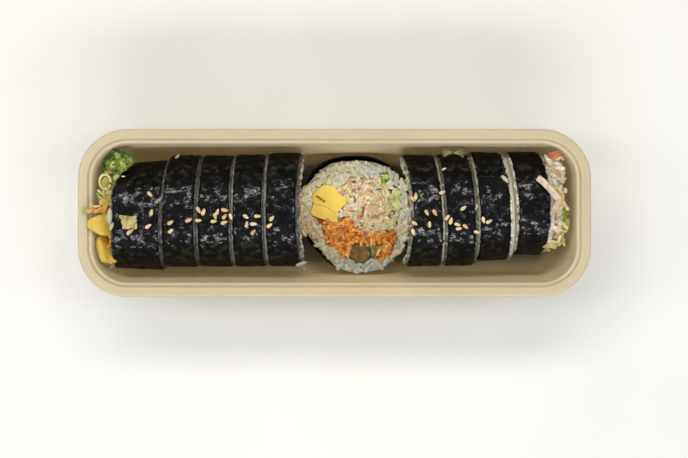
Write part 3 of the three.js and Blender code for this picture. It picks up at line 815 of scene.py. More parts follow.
class Palette(Enum):
    """The tints of pieces that are scattered, each with its share."""

    RICE_CLEAN = (("#d3d2c0", 5), ("#dddccd", 3), ("#c4c3ad", 3), ("#b5b49c", 1))
    RICE_WARM = (("#d4cba8", 5), ("#dcd4b6", 3), ("#c4b88f", 3))
    RICE_PEACH = (("#dcbd9c", 3), ("#e0c9aa", 3), ("#cfa680", 1))
    # Rice in the narrow gaps between slices, grey on the left and warm grey on the right: the greys are
    # painted shade of the gaps.
    RICE_GREY = (("#504f4b", 5), ("#5d5c57", 3), ("#40403c", 4), ("#75736c", 2))
    RICE_GREY_WARM = (("#7d7b6c", 4), ("#a09d8b", 3), ("#55544a", 4), ("#bab6a4", 2))
    # Rice in the gap between the last two slices on the right: paler, with darker greys that are painted
    # shade of the gap.
    RICE_PALE = (("#c9c5b2", 5), ("#dad7c7", 3), ("#a5a18e", 3), ("#807c6b", 2))
    RICE_PINK = (("#cfc3aa", 4), ("#c6b397", 3), ("#d5ccb8", 4), ("#b3967a", 1))
    CARROT = (("#e2953a", 5), ("#eaa648", 4), ("#d27d28", 3), ("#ad6626", 2), ("#edbb6c", 1))
    CRAB = (
        ("#ddcca8", 6), ("#e3d6c0", 4), ("#d8ce9c", 4), ("#d8bfa8", 4), ("#c69c74", 2), ("#cf8e84", 1),
        ("#b7c078", 2), ("#7b683c", 1), ("#b24c3d", 0.5),
    )
    LEAF_BRIGHT = (("#b4cf52", 4), ("#c6da70", 3), ("#98b842", 2))
    LEAF_PALE = (("#dbe3a6", 5), ("#e9ecc6", 4), ("#c6d684", 2))
    SESAME = (("#cdbb92", 5), ("#d8caa4", 4), ("#c6ae84", 2))

    def draw(self, rng: np.random.Generator, count: int, vary: float = 0.08) -> np.ndarray:
        """Draws tints by their shares.

        Args:
            rng: Where the draws come from.
            count: How many tints.
            vary: How much lighter or darker each may be.

        Returns:
            (count, 3) linear colours.
        """
        colours = np.array([rgb(colour) for colour, _ in self.value])
        shares = np.array([share for _, share in self.value], float)
        picked = colours[rng.choice(len(colours), count, p=shares / shares.sum())]
        return picked * rng.uniform(1 - vary, 1 + vary, (count, 1))


# ---- Small things that are scattered -----------------------------------------------------------------------


def plump(length: float, width: float, thickness: float, bend: float, taper: float, sides: int = 8) -> Shape:
    """Makes a grain or a seed that lies along X.

    Args:
        length: Its length, in mm.
        width: Its width, in mm.
        thickness: Its thickness, in mm.
        bend: How far its middle stands beside its ends, as a share of its width.
        taper: How much narrower it is at one end.
        sides: How many sides it has.

    Returns:
        The closed shape.
    """
    skin = bmesh.new()
    bmesh.ops.create_uvsphere(skin, u_segments=sides, v_segments=sides - 1, radius=1.0)
    for vert in skin.verts:
        y, z, x = vert.co
        along = math.copysign(abs(x) ** 0.85, x)
        narrow = 1 - taper * (along + 1) / 2
        vert.co = (
            along * length / 2,
            (y * narrow - bend * along * along) * width / 2,
            z * narrow * thickness / 2,
        )
    return Shape.of(skin)


GRAINS = [
    plump(5.4, 2.3, 2.0, 0.10, 0.10),
    plump(5.1, 2.4, 2.1, -0.22, 0.05),
    plump(4.6, 2.2, 1.9, 0.30, 0.18),
]
CUT_GRAINS = [
    plump(4.3, 2.2, 1.9, 0.12, 0.1),
    plump(3.6, 2.2, 2.0, -0.15, 0.1),
    plump(3.1, 2.1, 1.8, 0.2, 0.2),
    plump(2.6, 2.2, 1.9, 0.0, 0.1),
]
SHREDS = [
    strand([(-1.9, 0.25, 0), (0, -0.2, 0.2), (1.9, 0.3, -0.1)], 1.4, 1.1, 6, 5),
    strand([(-1.3, -0.1, 0), (0, 0.15, 0.15), (1.3, 0.1, 0)], 1.5, 1.2, 6, 4),
    strand(
        [(-2.6, -0.3, -0.1), (-0.8, 0.25, 0.2), (0.9, 0.2, 0.3), (2.6, -0.4, 0)], 1.25, 1.1, 6, 6, twist=0.6
    ),
    strand([(-0.9, 0.1, 0.1), (0.9, -0.1, 0)], 1.6, 1.3, 6, 4),
]
FLAKES = [
    strand([(-1.5, 0.1, 0, 0.7), (0, -0.2, 0.15), (1.5, 0.2, 0, 0.6)], 1.2, 0.8, 6, 5, twist=0.5),
    strand([(-2.2, -0.3, 0, 0.6), (-0.6, 0.2, 0.15), (0.8, 0.1, 0.15), (2.2, -0.3, 0, 0.5)], 0.9, 0.7, 6, 6),
    strand([(-0.9, 0, 0, 0.8), (0, 0.1, 0.1, 1.1), (0.9, -0.1, 0, 0.7)], 1.4, 0.9, 6, 4),
]
SEED = plump(3.0, 1.95, 1.15, 0.0, 0.4, 10)


def lay(
    mould: Mould,
    shapes: Sequence[Shape],
    places: np.ndarray,
    rng: np.random.Generator,
    tints: np.ndarray,
    yaw: np.ndarray | None = None,
    tilt: float = 0.25,
    frames: np.ndarray | None = None,
    roll: float = math.pi,
    sizes: tuple[float, float] = (0.88, 1.1),
) -> None:
    """Lays copies of some shapes at some places.

    Args:
        mould: What they are added to.
        shapes: The shapes to draw from.
        places: (n, 3) places, in mm.
        rng: Where the draws come from.
        tints: (n, 3) linear colours.
        yaw: Turns in the face's plane, in radians. Without them each is drawn.
        tilt: How far they tilt out of the plane, in radians.
        frames: (n, 3, 3) frames that they lie in, if not the world's.
        roll: How far they roll about their own length, in radians.
        sizes: Smallest and largest scale.
    """
    count = len(places)
    kinds = rng.integers(len(shapes), size=count)
    turned = turns(
        rng.uniform(0, 2 * math.pi, count) if yaw is None else yaw,
        rng.normal(0, tilt, count),
        rng.uniform(-roll, roll, count),
        rng.uniform(*sizes, count),
    )
    if frames is not None:
        turned = frames @ turned
    for kind, shape in enumerate(shapes):
        picked = kinds == kind
        mould.scatter(shape, turned[picked], places[picked], tints[picked])


# ---- Tray --------------------------------------------------------------------------------------------------

TRAY_FLOOR = 1.2


@dataclass(frozen=True)
class Tray:
    """The moulded tray. Insets are from its rim's outer edge.

    Attributes:
        length: Outside length of the rim.
        width: Outside width of the rim.
        height: Height of the rim's crown.
        corner: Radius of the rim's corners.
        draft: Slope of the walls, in degrees.
        mouth: Inset of the inner wall's top.
        wall: Thickness of the walls.
        fillet: Radius between the floor and the walls.
        step: From the rim's crown down to the lid step.
        under: Height of the underside of the lid step.
        lip: Height of the rolled rim's lower edge.
    """

    length: float = 220.0
    width: float = 72.0
    height: float = 43.0
    corner: float = 21.4
    draft: float = 5.5
    mouth: float = 6.3
    wall: float = 1.0
    fillet: float = 6.0
    step: float = 1.2
    under: float = 40.6
    lip: float = 39.5

    def inset(self, z: float | np.ndarray, wall: float = 0.0) -> float | np.ndarray:
        """Gives the wall's inset at a height."""
        return self.mouth + (self.height - z) * math.tan(math.radians(self.draft)) - wall

    def held(self, points: np.ndarray) -> np.ndarray:
        """Presses food that would pass the walls flat against their inner side.

        Args:
            points: (n, 3) places, in mm.

        Returns:
            (n, 3) places within the walls.
        """
        core = np.array([self.length, self.width]) / 2 - self.corner
        middle = np.clip(points[:, :2], -core, core)
        out = points[:, :2] - middle
        room = self.corner - self.inset(points[:, 2]) - GAP
        share = np.minimum(room / np.maximum(np.linalg.norm(out, axis=1), TINY), 1)
        return np.concatenate([middle + out * share[:, None], points[:, 2:]], axis=1)

    def foot(self, floor: float, radius: float, wall: float) -> Outline:
        """Gives the quarter-round between the floor and a wall, from the floor up.

        Args:
            floor: Height of the floor, in mm.
            radius: Its radius, in mm.
            wall: How far the wall's face lies outside the inner one, in mm.

        Returns:
            Insets and heights.
        """
        centre = self.inset(floor + radius, wall) + radius
        angles = np.linspace(0, math.pi / 2, 9)
        return [(centre - radius * math.sin(a), floor + radius * (1 - math.cos(a))) for a in angles]

    @staticmethod
    def bend(x: float, z: float, radius: float, start: float, stop: float) -> Outline:
        """Gives a rounded edge about a centre, between two directions in degrees."""
        angles = np.radians(np.linspace(start, stop, 5))
        return [(x + radius * math.cos(a), z + radius * math.sin(a)) for a in angles]

    def loop(self, inset: float, z: float) -> list[tuple[float, float, float]]:
        """Gives the rounded rectangle at one inset and height.

        Args:
            inset: The inset, in mm.
            z: The height, in mm.

        Returns:
            Its points.
        """
        radius, steps = self.corner - inset, 24
        x, y = self.length / 2 - inset - radius, self.width / 2 - inset - radius
        return [
            (cx + radius * math.cos(angle), cy + radius * math.sin(angle), z)
            for quarter, (cx, cy) in enumerate(((x, y), (-x, y), (-x, -y), (x, -y)))
            for angle in ((quarter + i / steps) * math.pi / 2 for i in range(steps + 1))
        ]

    def dress(self) -> None:
        """Makes the tray as one skin, from under its base over the rim to its floor."""
        top, mouth, under = self.height, self.mouth, self.under
        ledge = top - self.step
        profile = [
            *self.foot(0.0, self.fillet + self.wall, self.wall),
            (self.inset(30, self.wall), 30), (self.inset(under, self.wall), under),  # the outer wall
            (3.1, under), (3.1, 41.8), (1.2, 41.8), (1.1, 41.6), (1.1, self.lip),  # under the rim
            *self.bend(0.55, self.lip + 0.4, 0.5, -60, -175),  # the rim's lower edge
            *self.bend(1.3, top - 1.3, 1.3, 180, 100), (2.0, top), (3.4, top),  # the rim's crown
            *self.bend(4.3 - 0.55, top - 0.6, 0.6, 85, 15),
            *self.bend(5.0, ledge + 0.3, 0.3, 190, 268),  # the lid step
            *self.bend(mouth - 1.0, ledge - 1.0, 1.0, 88, 8),
            *reversed(self.foot(TRAY_FLOOR, self.fillet, 0.0)),
        ]
        mould = Mould()
        mould.add(Shape.of(drawn(np.array([self.loop(inset, z) for inset, z in profile]))))
        mould.pour("moulded_tray", TRAY_PLASTIC, ["tray"], sharp=60.0)


# ---- The roll ----------------------------------------------------------------------------------------------

NORI = 0.6  # the seaweed sheet where its laps lie on each other
NORI_MARGIN = 1.0  # rice that shows past the seaweed at a cut
WAIST = 1.5  # how far the rice's body is drawn in under the seaweed
RIM_SINK = 1.25  # from the seaweed's outer side to the middle of a grain beside it
FACE_SINK = 0.55  # from a cut face to the middle of a grain on it
AROUND = 24.0  # the roll's usual radius, where noise is read round it
SAG_FROM = 0.8  # share of the radius below which a slice is flattened by its own weight
SAG_KEEP = 0.55  # share of that height that is left


def sagged(height: np.ndarray | float, radius: float) -> np.ndarray:
    """Flattens the foot of a slice. Heights are from its axis, in mm."""
    foot = -SAG_FROM * radius
    return np.maximum(height, foot + (np.asarray(height, float) - foot) * SAG_KEEP)


@dataclass(frozen=True)
class Cut:
    """A knife's cut across the roll.

    Attributes:
        x: Where it meets the roll's axis, along the tray.
        y: Where it meets the roll's axis, across the tray.
        skew: Its turn towards the far side.
        lean: Its tilt over the height.
        bow: How far its middle is pushed to the right.
    """

    x: float
    y: float
    skew: float = 0.0
    lean: float = 0.0
    bow: float = 0.0

    def at(self, y: np.ndarray, z: np.ndarray, radius: float) -> np.ndarray:
        """Gives the cut's x at some places across the tray and up."""
        crown = np.maximum(0, 1 - ((y - self.y) / radius) ** 2)
        return self.x + self.skew * (y - self.y) + self.lean * z + self.bow * crown


@dataclass(frozen=True)
class Slice:
    """A standing slice. In its own axes X runs across the tray, Y up and Z along the roll.

    Attributes:
        name: Its name.
        start: The cut on its left.
        end: The cut on its right.
        radius: The roll's radius there.
        y: Place of its axis across the tray.
        pinch: Share by which the tray's corner narrows it at its first cut.
        slant: How far the far side of its first cut is set back.
    """

    name: str
    start: Cut
    end: Cut
    radius: float
    y: float
    pinch: float = 0.0
    slant: float = 0.0

    @property
    def thickness(self) -> float:
        """Its length along the roll, in mm."""
        return self.end.x + self.end.bow / 2 - self.start.x - self.start.bow / 2 - GAP

    @property
    def axis_height(self) -> float:
        """Height of its axis over the tray's base, in mm."""
        return TRAY_FLOOR + GAP - float(sagged(-self.radius, self.radius))

    def in_tray(self, points: np.ndarray) -> np.ndarray:
        """Moves places from its own axes to the tray's, and fits them between its cuts.

        Args:
            points: (n, 3) places, in mm.

        Returns:
            (n, 3) places.
        """
        across, height, along = points.T
        reach = np.hypot(across, height)
        share = along / self.thickness + 0.5
        far_side = np.clip(across / np.maximum(reach, TINY), 0, 1)
        back = self.slant * far_side**3.5 * step(reach, 0.35 * self.radius, 0.9 * self.radius)
        y = self.y + across * (1 - self.pinch * np.clip(1 - share, 0, 1))
        z = self.axis_height + sagged(height, self.radius)
        near = self.start.at(y, z, self.radius) + GAP / 2 + back
        far = self.end.at(y, z, self.radius) - GAP / 2
        return np.stack([near + (far - near) * share, y, z], 1)

    def crest(self, y: float) -> float:
        """Height of its seaweed at a place across the tray, in mm."""
        return self.axis_height + math.sqrt(self.radius**2 - (y - self.y) ** 2)


LEFT_CUTS = [
    Cut(-97.2, -0.7, bow=2.2),
    Cut(-72.4, 0.2, 0.049, -0.033),
    Cut(-58.4, 1.0, 0.031, -0.01),
    Cut(-43.6, 1.2, 0.012, -0.01),
    Cut(-28.9, 1.5, 0.0, -0.025),
    Cut(-13.6, 1.7, 0.0, -0.01, -1.5),
]
RIGHT_CUTS = [
    Cut(29.6, 1.2, -0.035, bow=3.2),
    Cut(45.7, 1.5, -0.068, bow=1.1),
    Cut(59.7, 2.4, -0.06, 0.01, 0.8),
    Cut(75.1, 4.0, -0.072, 0.02, 0.6),
    Cut(88.6, 4.5, -0.038, 0.09, 1.2),
]
LEFT = [
    Slice(f"left_{i + 1}", LEFT_CUTS[i], LEFT_CUTS[i + 1], *rest)
    for i, rest in enumerate(((24.2, -0.7, 0.04, 10.0), (24.6, 1.0), (24.4, 1.1), (24.6, 1.3), (25.0, 1.7)))
]
RIGHT = [
    Slice(f"right_{i + 1}", RIGHT_CUTS[i], RIGHT_CUTS[i + 1], *rest)
    for i, rest in enumerate(((24.6, 1.3), (24.6, 1.6), (23.8, 3.2), (22.8, 4.5)))
]
# The seaweed's relief: size of its features and height, both in mm.
LUMP, FOLD, CRINKLE, FELT = (4.4, 0.24), (6.0, 0.2), (2.4, 0.2), (1.1, 0.05)


def crinkled(points: np.ndarray, outward: np.ndarray, seed: float) -> np.ndarray:
    """Presses the lumps of the rice below and the seaweed's own crinkles into a sheet.

    Args:
        points: (n, 3) places of the smooth sheet, in mm.
        outward: (n, 3) directions out of it.
        seed: Makes its crinkles its own.

    Returns:
        (n, 3) places.
    """
    relief = LUMP[1] * (0.5 - cells(points, LUMP[0], seed))
    relief += FOLD[1] * cloud(points * (1, 1, 0.5), FOLD[0], seed + 1)
    relief += CRINKLE[1] * (0.3 - np.abs(cloud(points, CRINKLE[0], seed + 2)))
    relief += FELT[1] * cloud(points, FELT[0], seed + 3)
    return points + outward * relief[:, None]


def ring_angles() -> np.ndarray:
    """Spaces a sleeve's points: close over its upper side, wide below.

    Returns:
        Their angles from the crown, in radians.
    """
    upper = np.radians(np.linspace(-115, 115, 216))
    lower = np.radians(np.linspace(115, 245, 34))[1:-1]
    return np.concatenate([upper, lower])


@dataclass
class Standing:
    """Dresses a slice that stands on edge.

    Attributes:
        shape: The slice.
        seed: Makes its details its own.
        rims: Tints of the rice that shows beside the seaweed, at its first and at its last face. Their greys
        are painted shade of the narrow gaps between slices.
        shown: Whether its first and its last face are seen.
        margins: Rice that shows past the seaweed at its first and at its last face, in mm.
        proud: How far grains may stand out of a shown face, in mm.
        dome: How far its last face swells, in mm.
        palette: Tints of the rice on a shown face.
        wells: Outlines that fillings take out of its rice, in its own axes.
        patches: Heaps of loose grains: their places, their tints and their largest scale.
    """

    shape: Slice
    seed: int
    rims: tuple[Palette, Palette]
    shown: tuple[bool, bool] = (False, False)
    margins: tuple[float, float] = (NORI_MARGIN, NORI_MARGIN)
    proud: float = 0.35
    dome: float = 0.0
    palette: Palette = Palette.RICE_CLEAN
    wells: list[np.ndarray] = field(default_factory=list)
    patches: list[tuple[np.ndarray, Palette, float]] = field(default_factory=list)

    def __post_init__(self) -> None:
        """Starts its random draws, and measures how far its faces are from its middle."""
        self.rng = np.random.default_rng(self.seed)
        self.face = self.shape.thickness / 2

    def sleeve(self) -> None:
        """Makes its seaweed."""
        radius, low, high = self.shape.radius, self.margins[0] - self.face, self.face - self.margins[1]
        angles = ring_angles()
        levels = np.linspace(low, high, max(20, round((high - low) / 0.48)))
        angle, level = np.meshgrid(angles, levels)
        angle, level = angle.ravel(), level.ravel()
        outward = np.stack([np.sin(angle), np.cos(angle), np.zeros_like(angle)], 1)
        points = outward * radius + np.stack([0 * level, 0 * level, level], 1)
        inset = np.minimum(level - low, high - level)
        edge = 1 - step(inset, 0, 1)
        points = crinkled(points, outward, self.seed)
        points -= outward * (0.42 * edge)[:, None]
        around = outward * radius
        rough = cloud(around, 1.8, self.seed + 5) + 0.6 * cloud(around, 0.8, self.seed + 6)
        points[:, 2] += np.sign(level) * 0.5 * rough * (1 - step(inset, 0, 2))
        mould = Mould()
        mould.add(Shape.of(drawn(points.reshape(len(levels), len(angles), 3), capped=False)))
        name = self.shape.name
        mould.pour(f"seaweed_{name}", SEAWEED, [f"nori_{name}"], self.shape.in_tray, wall=NORI - 0.1)

    def core(self) -> Shape:
        """Makes the rice's body, with a waist under the seaweed and wells where fillings run.

        Returns:
            Its closed skin, in the slice's own axes.
        """
        radius, face, count = self.shape.radius, self.face, 150
        angle = np.arange(count) / count * 2 * np.pi
        reaches = np.concatenate([np.linspace(0.3, radius - 2.5, 34), [radius - 1.6, radius - 1.0]])
        sides = [(radius - 0.6, 0.985), (radius - 0.5, 0.94), (radius - 0.6, 1 - 0.9 / face)]
        waist = [(radius - WAIST, 1 - 1.3 / face), (radius - WAIST, 0.4), (radius - WAIST, 0.0)]
        first = [(reach, -1.0) for reach in reaches]
        half = [(reach, -share) for reach, share in sides + waist]
        rest = [(reach, -share) for reach, share in reversed(first + half[:-1])]
        rings = np.array([
            [(reach * math.sin(a), reach * math.cos(a), share * face) for a in angle]
            for reach, share in first + half + rest
        ])
        points = rings.reshape(-1, 3)
        on_face = np.abs(points[:, 2]) > face * 0.999
        bump = 0.4 - cells(points, 2.7, self.seed + 20)
        flat = points[:, :2]
        side = np.sign(points[:, 2])
        shown = on_face & np.where(side < 0, *self.shown)
        sunk = np.zeros(len(points), bool)
        for well in self.wells:
            sunk |= inside(well, flat)
        points[:, 2] += side * shown * (0.5 * bump - 0.5)
        points[:, 2] = np.where(sunk & shown, side * -face * 0.6, points[:, 2])
        near_rim = ~on_face & (np.hypot(*flat.T) > radius - 1.2)
        points[:, :2] *= (1 + near_rim * 0.5 * bump / radius)[:, None]
        return Shape.of(drawn(rings))

    def domed(self, points: np.ndarray) -> np.ndarray:
        """Swells the last face, closes hidden ones up to their neighbours, and moves the rice to the tray.

        Args:
            points: (n, 3) places in the slice's own axes, in mm.

        Returns:
            (n, 3) places.
        """
        reach = np.hypot(points[:, 0], points[:, 1]) / self.shape.radius
        swell = self.dome * np.clip(1 - reach**2, 0, 1) * step(points[:, 2], 0, self.face)
        side = np.sign(points[:, 2])
        hidden = ~np.where(side < 0, *self.shown)
        near = step(np.abs(points[:, 2]), self.face - 1.2, self.face - 0.1)
        close = hidden * side * (GAP / 2 - 0.03) * near
        points = points + np.stack([0 * swell, 0 * swell, swell + close], 1)
        return self.shape.in_tray(points)

    def pressed(self, points: np.ndarray) -> np.ndarray:
        """Keeps grains of the rim within the cut and under the seaweed.

        Args:
            points: (n, 3) places in the slice's own axes, in mm.

        Returns:
            (n, 3) places.
        """
        radius, face = self.shape.radius, self.face
        reach = np.hypot(points[:, 0], points[:, 1])
        past = np.abs(points[:, 2]) - face + np.where(points[:, 2] < 0, *self.margins)
        limit = radius - 1.15 + step(past, -0.2, 0.4)
        points = points.copy()
        points[:, :2] *= np.minimum(1, limit / np.maximum(reach, TINY))[:, None]
        low, high = [self.proud if shown else 0.02 for shown in self.shown]
        points[:, 2] = np.clip(points[:, 2], -face - low, face + high)
        return points

    def rim(self, mould: Mould, side: int, count: int = 84) -> None:
        """Lays the grains that show between the seaweed and the cut.

        Args:
            mould: What they are added to.
            side: 1 for the last face, and -1 for the first.
            count: How many there are.
        """
        rng = self.rng
        angle = (np.arange(count) + rng.uniform(-0.35, 0.35, count)) / count * 2 * np.pi
        radial = np.stack([np.sin(angle), np.cos(angle), 0 * angle], 1)
        tangent = np.stack([np.cos(angle), -np.sin(angle), 0 * angle], 1)
        axis = np.broadcast_to((0.0, 0.0, 1.0), radial.shape)
        frames = np.stack([tangent, -axis, radial], 2)
        places = radial * (self.shape.radius - RIM_SINK - rng.uniform(0, 0.35, count))[:, None]
        out = self.proud * self.shown[(side + 1) // 2] * step(np.cos(angle), -0.1, 0.3)
        margin = self.margins[(side + 1) // 2]
        places[:, 2] = side * (self.face - 0.75 * margin + out + rng.uniform(-0.35, 0.35, count) * margin)
        tints = self.rims[(side + 1) // 2].draw(rng, count, 0.18)
        own = Mould()
        lay(own, CUT_GRAINS, places, rng, tints, rng.normal(0, 0.5, count), 0.12, frames, sizes=(0.75, 1.0))
        mould.press(own, self.pressed)

    def face_grains(self, mould: Mould, side: int, count: int = 420, clear: float = 0.9) -> None:
        """Lays grains over a face, clear of the fillings.

        Args:
            mould: What they are added to.
            side: 1 for the last face, and -1 for the first.
            count: How many there are before the fillings take their room.
            clear: How far they stay from a filling, in mm.
        """
        rng = self.rng
        flat = spread(count, self.shape.radius - 2.2, rng)
        for well in self.wells:
            flat = flat[~inside(well, flat)]
            flat = flat[distance_to(well, flat) > clear]
        level = side * (self.face - FACE_SINK + rng.uniform(-0.5, 0.25, len(flat)))
        places = np.stack([flat[:, 0], flat[:, 1], level], 1)
        own = Mould()
        lay(own, CUT_GRAINS, places, rng, self.palette.draw(rng, len(flat)), tilt=0.5)
        mould.press(own, self.pressed)

    def rice(self) -> None:
        """Makes its rice."""
        mould = Mould()
        body = self.core()
        # The body shows between the grains: its tints, darker than the grains', are painted shade in the
        # gaps.
        first, last = [rim.draw(self.rng, 1, 0.0)[0] * 0.7 for rim in self.rims]
        face_tint = self.palette.draw(self.rng, 1, 0.0)[0] * 0.8
        reach = np.hypot(*body.points[:, :2].T)
        outer = step(reach, self.shape.radius - 3.5, self.shape.radius - 1.5)[:, None]
        rim_tint = np.where(body.points[:, 2:] < 0, first, last)
        mould.add(body, face_tint * (1 - outer) + rim_tint * outer)
        for side in (-1, 1):
            self.rim(mould, side)
            if self.shown[(side + 1) // 2]:
                self.face_grains(mould, side)
        for places, palette, largest in self.patches:
            tints = palette.draw(self.rng, len(places))
            lay(mould, GRAINS, places, self.rng, tints, tilt=0.5, sizes=(0.9, largest))
        name = self.shape.name
        mould.pour(f"steamed_rice_{name}", RICE, [f"rice_{name}"], self.domed)

    def dress(self) -> None:
        """Makes its seaweed and its rice."""
        self.sleeve()
        self.rice()


# ---- Fillings of a cut face --------------------------------------------------------------------------------


def oval(x: float, y: float, half_width: float, half_height: float, count: int = 24) -> Outline:
    """Gives an oval outline."""
    angles = [i / count * 2 * math.pi for i in range(count)]
    return [(x + half_width * math.cos(a), y + half_height * math.sin(a)) for a in angles]


FACE: dict[str, Outline] = {
    "egg_1": [
        (-18.9, 7.4), (-18.7, 8.9), (-13.9, 13.5), (-11.2, 13.2), (-8.6, 12), (-6.4, 9.3), (-2.8, 7),
        (-3.2, 5.4), (-8.4, 0.3), (-9.8, 1.8), (-12.5, 3.6), (-18, 4.8),
    ],
    "egg_2": [
        (-18.1, 5.4), (-12.5, 4.2), (-9.6, 2.4), (-8.3, 0.8), (-6.8, -3.9), (-12.7, -2.6), (-18.3, -0.6),
        (-19.7, 1),
    ],
    "pickle_1": oval(2.5, -17.2, 4.5, 4.5),
    "pickle_2": [(5.2, -13.6), (9.4, -13), (13.6, -13.1), (12.8, -15.2), (9.8, -18.2), (6.9, -20)],
    "lettuce_1": [
        (16.3, 11.7), (18.8, 12.9), (21.4, 7.7), (20.4, 3), (19, 0.6), (17.2, 1.4), (17.9, 5),
    ],
    "lettuce_2": oval(13.3, 16.8, 2.3, 2),
    "crab": [
        (-5.8, 0.6), (-3.4, 5.2), (-3.2, 7.4), (-6, 10.1), (-3.2, 15.2), (1.6, 16.6), (10.2, 16),
        (16.9, 10.5), (18.2, 5), (17, 1), (19.2, -2.2), (18, -5.6), (13.1, -9.6), (9.9, -7.2), (6.3, -8.5),
        (2.8, -6.9), (-2.8, -0.4),
    ],
    "carrot_1": [
        (-17.3, -0.4), (-12.7, -2.1), (-7.2, -3.3), (-5, -1.4), (-2.2, 0), (3.2, -6.3), (5.1, -10.2),
        (5.3, -12.9), (-0.8, -14), (-3, -19), (-5.4, -19.4), (-8, -14.3), (-11.8, -13.2), (-13.9, -6.9),
    ],
    "carrot_2": [
        (5.4, -12.8), (6.9, -8), (9.7, -6.8), (13.1, -9), (16.8, -6.2), (18.6, -9), (17.2, -16.4),
        (14.2, -18.6), (9.9, -19.9), (9.2, -18.2), (12.2, -15), (12.6, -13.6),
    ],
}
EGG_PROUD = 0.35  # the firm egg stands out of a cut face
BURDOCK, CUCUMBER = ("#7d6430", "#6b5328"), ("#8f8b4a", "#4a5226")  # flesh and skin


def turned(outline: Outline, degrees: float, flip: bool = False) -> Outline:
    """Turns an outline about the roll's axis, and may then mirror it.

    Args:
        outline: The outline.
        degrees: The turn.
        flip: Whether it is mirrored across the tray.

    Returns:
        The turned outline.
    """
    angle = math.radians(degrees)
    c, s = math.cos(angle), math.sin(angle)
    side = -1 if flip else 1
    return [(side * (x * c - y * s), x * s + y * c) for x, y in outline]


